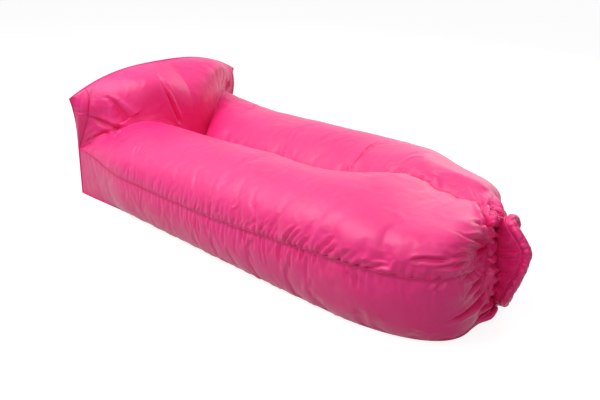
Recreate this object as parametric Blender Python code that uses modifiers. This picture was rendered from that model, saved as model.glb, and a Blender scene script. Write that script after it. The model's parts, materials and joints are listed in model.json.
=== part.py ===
"""Inflatable sofa: two long air tubes on a flat base, an upright pillow, and a rolled and buckled mouth.

The air bag is built as it is sewn, from separate fabric panels that meet at seam tapes. Metres, +Z up.
The head end is towards -X and the closure is at +X. The origin is on the floor, under the middle.
"""
import math

import bpy
import bmesh
import numpy as np

# Fabric and seams
FABRIC = 0.0008
GAP = 0.0003
SEAM_RADIUS = 0.002
SEAM_MARGIN = SEAM_RADIUS + GAP
FOLDED_MARGIN = SEAM_MARGIN + GAP
TAPE_SPACING = 2 * SEAM_RADIUS + GAP
TINY = 1e-9
MERGE = 0.00001
SMALL_TURN = 0.001
EDGE_REACH = 0.040
EDGE_STEPS = 120
EDGE_REACH_SHARE = 0.45

# Air bag, along X from the head end
NECK_X = 1.84
CORNER_RUN = 0.40
HEAD_RUN = 0.42
VALLEY_RISE_START = 1.05
VALLEY_RISE_END = 1.62
FOOT_START = 1.46
FOOT_BULGE = 0.055

# Air bag, across and up
BOX_WIDTH = 0.80
BASE_WIDTH = 0.77
SEAM_WIDTH = 0.88
SIDE_BULGE = 0.012
PINCH_HEIGHT = 0.20
SEAM_HEIGHT = 0.178
SEAM_FOOT_HEIGHT = 0.222
SEAM_RISE_START = 0.85
SIDE_KNEE_HEIGHT = 0.035
TUBE_AXIS_HEIGHT = 0.20
TUBE_LOWER_HEIGHT = 0.17
TUBE_TOP_AT_HEAD = 0.332
TUBE_TOP = 0.358
VALLEY_HEIGHT = 0.185
VALLEY_FOOT_HEIGHT = 0.335
NECK_HEIGHT = 0.205
SEAM_ANGLE = math.radians(8)

# Foot end: how much of the section is left half way round, and the neck that it ends in
FOOT_MIDDLE_SHARE = 0.47
FOOT_MIDDLE_HEIGHT_SHARE = 0.93
NECK_HALF_WIDTH = 0.021
NECK_BASE_HALF_WIDTH = 0.014
NECK_LOW = 0.041
NECK_SEAM_HEIGHT = 0.26
NECK_TOP = 0.309
CENTRE_BULGE_SHARE = 0.35
CENTRE_WIDTH_SHARE = 0.2
FOOT_ROUNDNESS = 0.85
NECK_ROUNDNESS = 0.8
VALLEY_SHARPNESS = 4
NEAR_SKEW = math.tan(math.radians(9))
FAR_SKEW = math.tan(math.radians(33))
SKEW_START = 0.95
FAR_NARROWING_SHARE = 0.035
TAPER_START = 1.05
NEAR_TAPER_SHARE = 0.03
FAR_TAPER_SHARE = 0.22
SHORTENING_START = 1.35
SHORTENING_WIDTH = 0.13
FAR_HOLD_HEIGHT = 0.16
NEAR_SHORTENING = 0.03
FAR_SHORTENING = 0.05
TOP_DRAW_BACK = 0.085
TOP_DRAW_HEIGHT = 0.44
TOP_DROP = 0.06
NEAR_TOP_DROP_SHARE = 1.0
FAR_TOP_DROP_SHARE = 0.45

# Crease between the tubes and the pillow
CREASE_REACH = 0.29
CREASE_VALLEY_HEIGHT = 0.15
NEAR_CREASE_RISE = 0.17
FAR_CREASE_RISE = 0.20
NEAR_CREASE_BEND = 3.2
FAR_CREASE_BEND = 1.6
NEAR_CREASE_LEAN = 1.0
FAR_CREASE_LEAN = 1.3
CREASE_DIP = 1.5
DOME_SLANT = 0.8
SEAM_PULL = 4

# Pillow
EAR_X = 0.015
EAR_HALF_WIDTH = 0.43
EAR_HEIGHT = 0.423
TOP_RISE = 0.110
TOP_FORWARD = 0.06
FRONT_BULGE = 0.115
FRONT_LIFT = 0.045
BACK_BULGE = 0.05
GUSSET_SHARE = 0.86
GUSSET_FORWARD = 0.05
GUSSET_BULGE = 0.012
GUSSET_END_SHARE = 0.7
NEAR_EAR_BEND = 3.0
FAR_EAR_BEND = 2.3
FLARE_BEND = 2.2
PILLOW_FULLNESS = 2.6
LEAN_START_SHARE = 0.45
BACK_ROUNDNESS = 0.9
SWELL_HEIGHT = 0.7
SWELL_BEND = 1.6
SIDE_SWELL_BEND = 6
SIDE_SWELL_HEIGHT = 0.55
FRONT_LEAN = 1.3

# Closure: a skirt of gathered fabric, the rolled mouth and a side release buckle
REST_SWING = math.radians(12)
ROOT_HALF_WIDTH = 0.013
ROOT_BACK = 0.004
ROOT_SQUARENESS = 0.7
RING_MIDDLE_Z = 0.1875
RING_HALF_HEIGHT = 0.141
RING_HALF_WIDTH = 0.034
RING_SQUARENESS = 3
RING_REACH = 0.045
TIP_REACH = 0.072
TIP_RISE = 0.055
STIFFENER_WIDTH = 0.014
STIFFENER_THICKNESS = 0.0006
ROLL_FABRIC = 0.0012
ROLL_PITCH = 0.0022
ROLL_TURNS = 2.25
ROLL_START = 0.0031
ROLL_OUTSIDE = ROLL_START + ROLL_PITCH * ROLL_TURNS + ROLL_FABRIC / 2
ROLL_BACK = ROLL_OUTSIDE - ROLL_PITCH * 3 / 4
LAYER_SPACING = 0.0050
SKIRT_FABRIC = 0.0005
FOLD_X = 0.006
FOLD_HEIGHT_SHARE = 0.8
TIP_BEND = 1.5
SKIRT_SPREAD = 1.5
SKIRT_RISE = 2

# Buckle: length along Z, width away from the neck, thickness across
WEBBING_WIDTH = 0.020
WEBBING_THICKNESS = 0.0014
BUCKLE_WALL = 0.0016
BUCKLE_WIDTH = 0.030
BUCKLE_THICKNESS = 0.010
BUCKLE_EDGE = 0.0008
EDGE_SEGMENTS = 2
CORNER_STEPS = 3
BUCKLE_OUT = 0.004
BAR_SIZE = 0.003
SLOT_LENGTH = 0.0048
POCKET_DEPTH = 0.0185
ROOT_BLOCK = 0.004
PRONG_WIDTH = 0.0030
PRONG_HEAD_LENGTH = 0.0075
PRONG_SIDE_GAP = 0.0012
TONGUE_WIDTH = 0.0036
TONGUE_SHARE = 0.8
BUCKLE_GAP_HALF = 0.042
WINDOW_CLEARANCE = 0.0008
OVERRUN = 0.002
SOCKET_LENGTH = POCKET_DEPTH + BUCKLE_WALL + SLOT_LENGTH + BAR_SIZE
PLUG_LENGTH = ROOT_BLOCK + SLOT_LENGTH + BAR_SIZE
PRONG_LENGTH = POCKET_DEPTH - PRONG_SIDE_GAP

# The origin lies under the middle of the whole sofa
BACK_REACH = 0.049
CLOSURE_REACH = (RING_REACH + TIP_REACH + STIFFENER_WIDTH / 2 + ROLL_OUTSIDE) * math.cos(REST_SWING)
MIDDLE_X = (NECK_X + CLOSURE_REACH + RING_HALF_WIDTH * math.sin(REST_SWING) - BACK_REACH) / 2

NEAR = -1
FAR = 1

NYLON_COLOR = (0.90, 0.06, 0.26)
TAPE_COLOR = (0.78, 0.04, 0.20)
WEBBING_COLOR = (0.02, 0.02, 0.02)
PLASTIC_COLOR = (0.03, 0.03, 0.03)
NYLON_ROUGHNESS = 0.42
TAPE_ROUGHNESS = 0.55
WEBBING_ROUGHNESS = 0.8
PLASTIC_ROUGHNESS = 0.4


def mix(first, last, share):
    return first + (last - first) * share


def ease(start, end, value):
    share = np.clip((np.asarray(value, float) - start) / (end - start), 0, 1)
    return share * share * (3 - 2 * share)


# The air bag's sections

def base_half(x):
    return mix(BOX_WIDTH / 2, BASE_WIDTH / 2, ease(0, CORNER_RUN, x))


def seam_height(x):
    middle = mix(PINCH_HEIGHT, SEAM_HEIGHT, ease(0, CORNER_RUN, x))
    return mix(middle, SEAM_FOOT_HEIGHT, ease(SEAM_RISE_START, VALLEY_RISE_END, x))


def side_section(x, share):
    """Half width and height of a side panel at x, from the base edge at share 0 to the side seam at 1."""
    run = ease(0, CORNER_RUN, x)
    low = base_half(x)
    seam = mix(BOX_WIDTH / 2, SEAM_WIDTH / 2, run)
    height = seam_height(x)
    knee_y = mix(low, seam + SIDE_BULGE, run)
    knee_z = mix(height / 2, SIDE_KNEE_HEIGHT, run)
    left = 1 - share
    y = left ** 2 * low + 2 * share * left * knee_y + share ** 2 * seam
    z = 2 * share * left * knee_z + share ** 2 * height
    return y, z


def tube_section(x, share):
    """Half width and height of a tube's top panel at x, from the side seam at share 0 to the valley at 1."""
    run = ease(0, CORNER_RUN, x)
    seam = mix(BOX_WIDTH / 2, SEAM_WIDTH / 2, run)
    top = mix(TUBE_TOP_AT_HEAD, TUBE_TOP, ease(CORNER_RUN, VALLEY_RISE_START, x))
    valley = mix(VALLEY_HEIGHT, VALLEY_FOOT_HEIGHT, ease(VALLEY_RISE_START, VALLEY_RISE_END, x))
    inner = SEAM_MARGIN
    radius = (seam - inner) / (1 + math.cos(SEAM_ANGLE))
    angle = mix(-SEAM_ANGLE, math.pi, share)
    lift = np.where(np.sin(angle) > 0, top - TUBE_AXIS_HEIGHT, TUBE_LOWER_HEIGHT)
    y = inner + radius * (1 + np.cos(angle))
    z = TUBE_AXIS_HEIGHT + lift * np.sin(angle)
    at_valley = ease(0, 1, share)
    seam_z = TUBE_AXIS_HEIGHT - TUBE_LOWER_HEIGHT * math.sin(SEAM_ANGLE)
    z = z + (1 - at_valley) ** 2 * (seam_height(x) - seam_z)
    z = z + at_valley ** VALLEY_SHARPNESS * (valley - TUBE_AXIS_HEIGHT)
    return y, z


def crease(share, side):
    """The seam between a tube and the pillow, from the side pinch at share 0 to the valley at 1."""
    out = 1 - share
    bend = NEAR_CREASE_BEND if side == NEAR else FAR_CREASE_BEND
    rise = NEAR_CREASE_RISE if side == NEAR else FAR_CREASE_RISE
    lean = NEAR_CREASE_LEAN if side == NEAR else FAR_CREASE_LEAN
    x = CREASE_REACH * (1 - out ** bend)
    y = SEAM_MARGIN * (1 - out) + BOX_WIDTH / 2 * out
    z = mix(CREASE_VALLEY_HEIGHT, PINCH_HEIGHT, out ** CREASE_DIP)
    z = z + rise * np.sin(math.pi * out ** lean)
    return x, y, z


def foot(turn, y, z, neck):
    """Carries a section's points round the foot end: turn 0 where it starts, pi at the neck."""
    run = NECK_X - FOOT_START
    centre = ease(SEAM_MARGIN, BOX_WIDTH * CENTRE_WIDTH_SHARE, y)
    bulge = FOOT_BULGE * mix(CENTRE_BULGE_SHARE, 1, centre)
    level = max(math.cos(turn), 0) ** FOOT_ROUNDNESS
    wide = mix(FOOT_MIDDLE_SHARE, 1, level)
    tall = mix(FOOT_MIDDLE_HEIGHT_SHARE, 1, level)
    y = np.where(y > SEAM_MARGIN, SEAM_MARGIN + wide * (y - SEAM_MARGIN), y)
    z = NECK_HEIGHT + tall * (z - NECK_HEIGHT)
    if turn <= math.pi / 2:
        return FOOT_START + (run + bulge) * math.sin(turn), y, z
    left = 1 + math.cos(turn)
    return NECK_X + bulge * math.sin(turn), mix(neck[0], y, left), mix(neck[1], z, left)


def tube_neck(share):
    """The upper quarter of the neck's ring, from the side seam at share 0 to the top at 1."""
    angle = share * math.pi / 2
    y = mix(SEAM_MARGIN, NECK_HALF_WIDTH, np.cos(angle) ** NECK_ROUNDNESS)
    return y, mix(NECK_SEAM_HEIGHT, NECK_TOP, np.sin(angle))


def side_neck(share):
    """The lower quarter of the neck's ring, from the base edge at share 0 to the side seam at 1."""
    angle = share * math.pi / 2
    y = mix(NECK_BASE_HALF_WIDTH, NECK_HALF_WIDTH, np.sin(angle))
    return y, mix(NECK_SEAM_HEIGHT, NECK_LOW, np.cos(angle))


def placed(x, y, z, side):
    """World points of a section's half: y is measured outwards, and side says to which side."""
    x, y, z = np.broadcast_arrays(np.asarray(x, float), y, z)
    run = ease(SKEW_START, NECK_X, x)
    if side == FAR:
        y = y * (1 - FAR_NARROWING_SHARE * ease(HEAD_RUN, FOOT_START, x))
    taper, shortening, drop_share = (
        (NEAR_TAPER_SHARE, NEAR_SHORTENING, NEAR_TOP_DROP_SHARE) if side == NEAR
        else (FAR_TAPER_SHARE, FAR_SHORTENING, FAR_TOP_DROP_SHARE))
    at_end = ease(SHORTENING_START, NECK_X, x)
    at_top = at_end * ease(NECK_TOP, TOP_DRAW_HEIGHT, z)
    away = ease(NECK_HALF_WIDTH, SHORTENING_WIDTH, y)
    if side == FAR:
        away = away * ease(NECK_LOW, FAR_HOLD_HEIGHT, z)
    x, y = (x - shortening * at_end * away - TOP_DRAW_BACK * at_top,
            y * (1 - taper * ease(TAPER_START, NECK_X, x) * away))
    z = z - TOP_DROP * at_top * mix(1, drop_share, away)
    skew = FAR_SKEW * run if side == FAR else -NEAR_SKEW * run
    return np.stack([x - skew * y - MIDDLE_X, side * y, z], axis=-1)


MIDDLE_STATIONS = 6
FOOT_STATIONS = 12
HEAD_STATIONS = 7


def stations():
    """The stations along the bag behind the head end: the kind of each and its place or turn."""
    along = [("along", x) for x in np.linspace(HEAD_RUN, FOOT_START, MIDDLE_STATIONS + 1)]
    around = [("around", a) for a in np.linspace(0, math.pi, FOOT_STATIONS + 1)[1:]]
    return along + around


def rows_behind_head(section, neck_section, shares, side):
    neck = neck_section(shares)
    rows = []
    for kind, value in stations():
        if kind == "along":
            y, z = section(value, shares)
            x = value
        else:
            reached = FOOT_START + (NECK_X - FOOT_START) * math.sin(min(value, math.pi / 2))
            y, z = section(min(reached, VALLEY_RISE_END), shares)
            x, y, z = foot(value, y, z, neck)
        rows.append(placed(x, y, z, side))
    return rows


TUBE_COLUMNS = 12
SIDE_COLUMNS = 5
BASE_COLUMNS = 5


def head_turns():
    return np.linspace(0, math.pi / 2, HEAD_STATIONS + 1)[:-1]


def head_x(turn):
    return HEAD_RUN * (1 - math.cos(turn)) ** DOME_SLANT


def tube_rows(side):
    """The tube's rows: a dome that rises from the crease, then the sections as far as the neck."""
    shares = np.linspace(0, 1, TUBE_COLUMNS)
    start_x, start_y, start_z = crease(shares, side)
    end_y, end_z = tube_section(HEAD_RUN, shares)
    rows = []
    for turn in head_turns():
        rise = math.sin(turn)
        y = mix(start_y, end_y, rise)
        z = mix(start_z, end_z, rise)
        seam_y, seam_z = side_section(head_x(turn), 1)
        at_seam = (1 - shares) ** SEAM_PULL
        y = y + (seam_y - y[0]) * at_seam
        z = z + (seam_z - z[0]) * at_seam
        rows.append(placed(mix(start_x, HEAD_RUN, head_x(turn) / HEAD_RUN), y, z, side))
    return np.array(rows + rows_behind_head(tube_section, tube_neck, shares, side))


def side_rows(side):
    shares = np.linspace(0, 1, SIDE_COLUMNS)
    rows = []
    for turn in head_turns():
        y, z = side_section(head_x(turn), shares)
        rows.append(placed(head_x(turn), y, z, side))
    return np.array(rows + rows_behind_head(side_section, side_neck, shares, side))


def base_rows():
    """Rows across the base, from the near edge to the far edge."""
    shares = np.linspace(1, 0, BASE_COLUMNS)

    def section(x, across):
        return base_half(x) * across, 0 * across

    def neck(across):
        return NECK_BASE_HALF_WIDTH * across, NECK_LOW + 0 * across

    halves = []
    for side in (NEAR, FAR):
        rows = [placed(head_x(turn), *section(head_x(turn), shares), side) for turn in head_turns()]
        halves.append(np.array(rows + rows_behind_head(section, neck, shares, side)))
    return np.concatenate([halves[0], halves[1][:, -2::-1]], axis=1)


# The pillow

def top_seam(across):
    """The seam over the top of the pillow: across is -1 at the near ear and 1 at the far one."""
    across = np.asarray(across, float)
    full = 1 - np.abs(across) ** np.where(across < 0, NEAR_EAR_BEND, FAR_EAR_BEND)
    return EAR_X + TOP_FORWARD * full, EAR_HALF_WIDTH * across, EAR_HEIGHT + TOP_RISE * full


def pillow_edge(z):
    """Half width of the head end's outline at height z: upright below the pinch, flared above it."""
    flare = np.clip((z - PINCH_HEIGHT) / (EAR_HEIGHT - PINCH_HEIGHT), 0, None)
    return BOX_WIDTH / 2 + (EAR_HALF_WIDTH - BOX_WIDTH / 2) * flare ** FLARE_BEND


PILLOW_COLUMNS = 2 * TUBE_COLUMNS - 1
PILLOW_ROWS = 9
BACK_ROWS = 10
GUSSET_COLUMNS = 4


def pillow_back_rows():
    """Rows up the head end, from the base edge to the top seam, each from the near edge to the far one."""
    across = np.linspace(-1, 1, PILLOW_COLUMNS)
    top_x, top_y, top_z = top_seam(across)
    full = 1 - np.abs(across) ** PILLOW_FULLNESS
    rows = []
    for share in np.linspace(0, 1, BACK_ROWS):
        z = top_z * share
        lean = ease(LEAN_START_SHARE, 1, share)
        bow = BACK_BULGE * full * math.sin(math.pi * share) ** BACK_ROUNDNESS
        x = mix(0, top_x, lean) - bow
        half = pillow_edge(EAR_HEIGHT * share)
        rows.append(np.stack([x - MIDDLE_X, half * across, z], axis=-1))
    return np.array(rows)


def pillow_front_rows():
    """Rows down the front of the pillow, from the top seam to the crease."""
    across = np.linspace(-1, 1, PILLOW_COLUMNS)
    top_x, top_y, top_z = top_seam(across * GUSSET_SHARE)
    near = crease(1 - np.abs(across), NEAR)
    far = crease(1 - np.abs(across), FAR)
    low_x, low_y, low_z = (np.where(across < 0, a, b) for a, b in zip(near, far))
    low_y = low_y * across / np.maximum(np.abs(across), TINY)
    low_y[across == 0] = 0
    full = 1 - np.abs(across) ** PILLOW_FULLNESS
    rows = []
    for share in np.linspace(0, 1, PILLOW_ROWS):
        swell = full * math.sin(math.pi * share ** SWELL_HEIGHT) ** SWELL_BEND
        side_swell = np.abs(across) ** SIDE_SWELL_BEND * math.sin(math.pi * share ** SIDE_SWELL_HEIGHT)
        x = mix(top_x, low_x, share ** FRONT_LEAN) + FRONT_BULGE * swell + GUSSET_FORWARD * side_swell
        z = mix(top_z, low_z, share) + FRONT_LIFT * full * math.sin(math.pi * share)
        y = mix(top_y, low_y, share)
        rows.append(np.stack([x - MIDDLE_X, y, z], axis=-1))
    return np.array(rows)


def gusset_rows(side):
    """The leaf of fabric at the pillow's side, between the back panel's edge and the front panel's edge."""
    back = pillow_back_rows()[:, 0 if side == NEAR else -1]
    front = pillow_front_rows()[::-1, 0 if side == NEAR else -1]
    count = PILLOW_ROWS
    heights = np.linspace(PINCH_HEIGHT, EAR_HEIGHT, count)
    edge = np.stack([np.interp(heights, back[:, 2], back[:, k]) for k in range(3)], axis=-1)
    rows = []
    for share in np.linspace(0, 1, GUSSET_COLUMNS):
        bow = GUSSET_BULGE * math.sin(math.pi * share) * np.sin(math.pi * np.linspace(0, 1, count))
        line = mix(edge, front, share)
        line[:, 1] += side * bow
        rows.append(line)
    leaf = np.array(rows)[:, 2:]
    leaf[:, -1] = mix(leaf[:, -2], leaf[:, -1], GUSSET_END_SHARE)
    return leaf


# Making the pieces

def material(name, color, roughness):
    made = bpy.data.materials.new(name)
    made.use_nodes = True
    shader = made.node_tree.nodes["Principled BSDF"]
    shader.inputs["Base Color"].default_value = (*color, 1)
    shader.inputs["Roughness"].default_value = roughness
    shader.inputs["Metallic"].default_value = 0
    made.diffuse_color = (*color, 1)
    return made


def add_object(name, data, collection, finish):
    made = bpy.data.objects.new(name, data)
    collection.objects.link(made)
    data.materials.append(finish)
    if isinstance(data, bpy.types.Mesh):
        data.shade_smooth()
    return made


def distances(points, lines):
    """The distance from each point to the nearest of some lines of points."""
    starts = np.concatenate([line[:-1] for line in lines])
    steps = np.concatenate([np.diff(line, axis=0) for line in lines])
    away = points[..., None, :] - starts
    share = np.clip((away * steps).sum(-1) / (steps * steps).sum(-1), 0, 1)
    return np.linalg.norm(away - share[..., None] * steps, axis=-1).min(-1)


def resampled(path, places):
    """The points at the given runs along a path."""
    run = np.concatenate([[0], np.cumsum(np.linalg.norm(np.diff(path[:, :3], axis=0), axis=-1))])
    return np.stack([np.interp(places, run, column) for column in path.T], axis=-1)


def faces_near(points, lines):
    """How near a panel's outer and inner points come to the seams."""
    return np.minimum(distances(points[:, :3], lines), distances(points[:, :3] + points[:, 3:], lines))


def drawn_back(path, lines):
    """Places to try along a path into a panel, and how near both faces come to the seams at each."""
    whole = np.linalg.norm(np.diff(path[:, :3], axis=0), axis=-1).sum()
    tried = resampled(path, np.linspace(0, min(EDGE_REACH, whole * EDGE_REACH_SHARE), EDGE_STEPS))
    return tried, faces_near(tried, lines)


def first_clear(near, margin):
    blocked = np.nonzero(near < margin)[0]
    if len(blocked) == 0:
        return 0
    return blocked[-1] + 1 if blocked[-1] + 1 < len(near) else int(near.argmax())


def cleared(rows, depth, lines, margin):
    """Draws a grid's edges back along its surface until both of its faces are a margin from the seams."""
    old = np.concatenate([rows, depth], axis=-1)
    new = old.copy()
    turned = (slice(None), slice(None, None, -1))
    for down in turned:
        for across in turned:
            corner = old[down, across]
            steps = min(corner.shape[:2])
            tried, near = drawn_back(corner[range(steps), range(steps)], lines)
            new[down, across][0, 0] = tried[first_clear(near, margin)]
    for source, target in ((old, new), (old.swapaxes(0, 1), new.swapaxes(0, 1))):
        for down in turned:
            edge, result = source[down], target[down]
            paths = [drawn_back(edge[:, k], lines) for k in range(1, edge.shape[1] - 1)]
            chosen = [first_clear(near, margin) for _, near in paths]
            for _ in range(EDGE_STEPS):
                inner = [tried[c] for (tried, _), c in zip(paths, chosen)]
                line = np.array([result[0, 0], *inner, result[0, -1]])
                tight = faces_near((line[1:] + line[:-1]) / 2, lines) < margin - GAP / 2
                if not tight.any():
                    break
                for k in range(len(chosen)):
                    if (tight[k] or tight[k + 1]) and 0 < chosen[k] < EDGE_STEPS - 1:
                        chosen[k] += 1
            for k, ((tried, _), c) in enumerate(zip(paths, chosen)):
                result[0, k + 1] = tried[c]
    return new[..., :3]


def grid_mesh(name, rows, closed=False):
    """An open sheet of quads through rows of points, closed round each row if asked."""
    count, columns = rows.shape[:2]
    mesh = bmesh.new()
    points = [[mesh.verts.new(p) for p in row] for row in rows]
    span = columns if closed else columns - 1
    for i in range(count - 1):
        for j in range(span):
            k = (j + 1) % columns
            mesh.faces.new((points[i][j], points[i + 1][j], points[i + 1][k], points[i][k]))
    bmesh.ops.remove_doubles(mesh, verts=mesh.verts, dist=MERGE)
    data = bpy.data.meshes.new(name)
    mesh.to_mesh(data)
    mesh.free()
    return data


def panel(name, rows, inside, lines, collection, finish, margin=SEAM_MARGIN):
    """A fabric panel: its outer face runs through rows, and its thickness goes towards the point inside."""
    normal = np.cross(np.gradient(rows, axis=0), np.gradient(rows, axis=1))
    normal /= np.maximum(np.linalg.norm(normal, axis=-1, keepdims=True), TINY)
    middle = (rows.shape[0] // 2, rows.shape[1] // 2)
    inward = math.copysign(1, normal[middle].dot(inside - rows[middle]))
    data = grid_mesh(name, cleared(rows, normal * inward * FABRIC, lines, margin))
    if inward > 0:
        data.flip_normals()
    made = add_object(name, data, collection, finish)
    solid = made.modifiers.new("thickness", "SOLIDIFY")
    solid.thickness = FABRIC
    solid.offset = -1
    return made


def seam(name, points, collection, finish):
    """A round seam tape along a line of points."""
    curve = bpy.data.curves.new(name, "CURVE")
    curve.dimensions = "3D"
    curve.bevel_depth = SEAM_RADIUS
    curve.bevel_resolution = 1
    curve.use_fill_caps = True
    line = curve.splines.new("POLY")
    line.points.add(len(points) - 1)
    for place, point in zip(line.points, points):
        place.co = (*point, 1)
    made = add_object(name, curve, collection, finish)
    weld = made.modifiers.new("caps", "WELD")
    weld.merge_threshold = MERGE
    return made


def kept_apart(line, others):
    """The longest stretch of a line that keeps clear of the other seams."""
    run = np.concatenate([[0], np.cumsum(np.linalg.norm(np.diff(line, axis=0), axis=-1))])
    places = np.arange(0, run[-1], GAP)
    clear = distances(resampled(line, places), others) >= TAPE_SPACING
    edges = np.nonzero(np.diff(np.concatenate([[False], clear, [False]]).astype(int)))[0].reshape(-1, 2)
    start, end = max(edges, key=lambda pair: pair[1] - pair[0])
    low, high = places[start], places[end - 1]
    inside = run[(run > low + TAPE_SPACING) & (run < high - TAPE_SPACING)]
    return resampled(line, np.concatenate([[low], inside, [high]]))


# The inner web and the seams

WEB_START_ROW = 4
WEB_CLEARANCE = 0.02


def centre_rows():
    """Points of the valley's bottom line and of the base below it, station by station."""
    valley = (tube_rows(NEAR)[:, -1] + tube_rows(FAR)[:, -1]) / 2
    base = base_rows()
    return valley, base[:, base.shape[1] // 2]


def centre_web(collection, finish):
    """The partition that ties the valley down to the base."""
    valley, below = centre_rows()
    last = int(np.nonzero(valley[:, 0] < NECK_X - WEB_CLEARANCE - MIDDLE_X)[0][-1]) + 1
    top = valley[WEB_START_ROW:last] - (0, 0, SEAM_MARGIN)
    low = np.stack([top[:, 0], 0 * top[:, 0], np.interp(top[:, 0], below[:, 0], below[:, 2])], axis=-1)
    low[:, 2] += FABRIC + GAP
    rows = np.stack([mix(low, top, share) for share in (0, 0.5, 1)], axis=1)
    made = add_object("centre_web", grid_mesh("centre_web", rows), collection, finish)
    solid = made.modifiers.new("thickness", "SOLIDIFY")
    solid.thickness = FABRIC
    solid.offset = 0


def base_seam_line():
    """The seam round the base, from the neck along the near side, the head end and the far side."""
    base = base_rows()
    runs = []
    for column, step in ((0, 1), (-1, -1)):
        inward = base[:, column + step] - base[:, column]
        inward /= np.linalg.norm(inward, axis=-1, keepdims=True)
        lift = np.clip(SEAM_RADIUS - base[:, column, 2:], 0, None)
        runs.append(base[:, column] + (inward + (0, 0, 1)) * lift)
    line = np.concatenate([runs[0][::-1], runs[1]])
    line[:, 0] = np.maximum(line[:, 0], SEAM_RADIUS - MIDDLE_X)
    return line


def seam_lines():
    """The middle line of every seam, each as far as the seams that it runs into."""
    back, front = pillow_back_rows(), pillow_front_rows()
    shares = np.linspace(0, 1, PILLOW_COLUMNS // 2 + 1)
    near = np.stack(crease(shares, NEAR), axis=-1) * (1, NEAR, 1)
    far = np.stack(crease(shares, FAR), axis=-1)
    top = np.stack(top_seam(np.linspace(-1, 1, PILLOW_COLUMNS)), axis=-1)
    return {
        "base_seam": base_seam_line(),
        "head_seam_right": back[:, 0],
        "head_seam_left": back[:, -1],
        "pillow_top_seam": top - (MIDDLE_X, 0, 0),
        "side_seam_right": tube_rows(NEAR)[:, 0],
        "side_seam_left": tube_rows(FAR)[:, 0],
        "crease_seam": np.concatenate([near, far[::-1]]) - (MIDDLE_X, 0, 0),
        "gusset_seam_right": front[::-1, 0],
        "gusset_seam_left": front[::-1, -1],
        "valley_seam": centre_rows()[0],
    }


def seams(lines, collection, tape):
    """The seam tapes, each shortened where it would run into one made before it."""
    made = []
    for name, line in lines.items():
        if made:
            line = kept_apart(line, made)
        seam(name, line, collection, tape)
        made.append(line)


# The closure, in its own frame: X away from the neck, Y across, Z up, about the neck's axis

def ring_path(angle):
    """The middle line of the rolled mouth: angle 0 is on the far side, a quarter turn is at the top."""
    straight = RING_HALF_HEIGHT - RING_HALF_WIDTH
    spread = np.tanh(RING_SQUARENESS * np.sin(angle)) / math.tanh(RING_SQUARENESS)
    height = straight * spread + RING_HALF_WIDTH * np.sin(angle)
    span = np.where(height > TIP_RISE, RING_HALF_HEIGHT - TIP_RISE, RING_HALF_HEIGHT + TIP_RISE)
    near = (1 - np.cos(angle)) / 2
    x = RING_REACH + TIP_REACH * near * (1 - np.abs((height - TIP_RISE) / span) ** TIP_BEND)
    y = RING_HALF_WIDTH * np.cos(angle)
    z = RING_MIDDLE_Z + height
    return np.stack([x, y, z], axis=-1)


QUARTER_STATIONS = 7
SKIRT_ROWS = 5
FOLD_ROWS = 4
FINE_STATIONS = 400
BEND_WEIGHT = 0.06


def ring_angles():
    """The angles of the mouth's stations, once round from the buckle gap's upper end.

    All four quarters have the same ones. The last of all is in the middle of the buckle gap.
    """
    angles = np.linspace(0, math.pi / 2, FINE_STATIONS)
    start = float(np.interp(BUCKLE_GAP_HALF, ring_path(angles)[:, 2] - RING_MIDDLE_Z, angles))
    angles = np.linspace(start, math.pi / 2, FINE_STATIONS)
    steps = np.diff(ring_path(angles)[:, 1:], axis=0)
    turns = np.abs(np.diff(np.arctan2(steps[:, 1], steps[:, 0]), prepend=math.pi / 2))
    run = np.concatenate([[0], np.cumsum(np.linalg.norm(steps, axis=-1) + BEND_WEIGHT * turns)])
    quarter = np.interp(np.linspace(0, run[-1], QUARTER_STATIONS), run, angles)
    upper = np.concatenate([quarter, math.pi - quarter[-2::-1]])
    return np.concatenate([upper, [math.pi], upper + math.pi, [2 * math.pi]])


def ring_frames(angles):
    """The mouth's places at some angles, with the directions of its width and of its thickness."""
    path = ring_path(angles)
    along = ring_path(angles + SMALL_TURN) - ring_path(angles - SMALL_TURN)
    along /= np.linalg.norm(along, axis=-1, keepdims=True)
    wide = np.array([1.0, 0, 0]) - along * along[:, :1]
    wide /= np.linalg.norm(wide, axis=-1, keepdims=True)
    return path, wide, np.cross(along, wide)


def swept(points):
    """Rows of a strip whose section points, width and thickness offsets, run along the rolled mouth."""
    path, wide, thick = ring_frames(ring_angles()[:-1])
    return np.stack([path + wide * u + thick * v for u, v in points], axis=1)


def sheet(name, rows, thickness, parent, collection, finish, offset=0.0, closed=False):
    made = add_object(name, grid_mesh(name, rows, closed), collection, finish)
    made.parent = parent
    solid = made.modifiers.new("thickness", "SOLIDIFY")
    solid.thickness = thickness
    solid.offset = offset
    return made


def rolled_mouth(parent, collection, nylon, plastic):
    """The mouth, rolled round its two stiffeners."""
    half = STIFFENER_WIDTH / 2
    section = []
    for step in range(int(ROLL_TURNS * 4) + 1):
        distance = ROLL_START + ROLL_PITCH * step / 4
        quarter = step % 4
        if quarter in (0, 2):
            reach = distance if step else 2 * GAP + ROLL_FABRIC / 2
            section.append(((half + reach) * (1 - quarter), 0))
        else:
            way = 2 - quarter
            section += [(way * half, way * distance), (-way * half, way * distance)]
    sheet("rolled_mouth", swept(section), ROLL_FABRIC, parent, collection, nylon)
    seat = (STIFFENER_THICKNESS + GAP) / 2
    for name, place in (("mouth_stiffener_inner", -seat), ("mouth_stiffener_outer", seat)):
        sheet(name, swept([(-half, place), (half, place)]), STIFFENER_THICKNESS, parent, collection, plastic)


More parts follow.
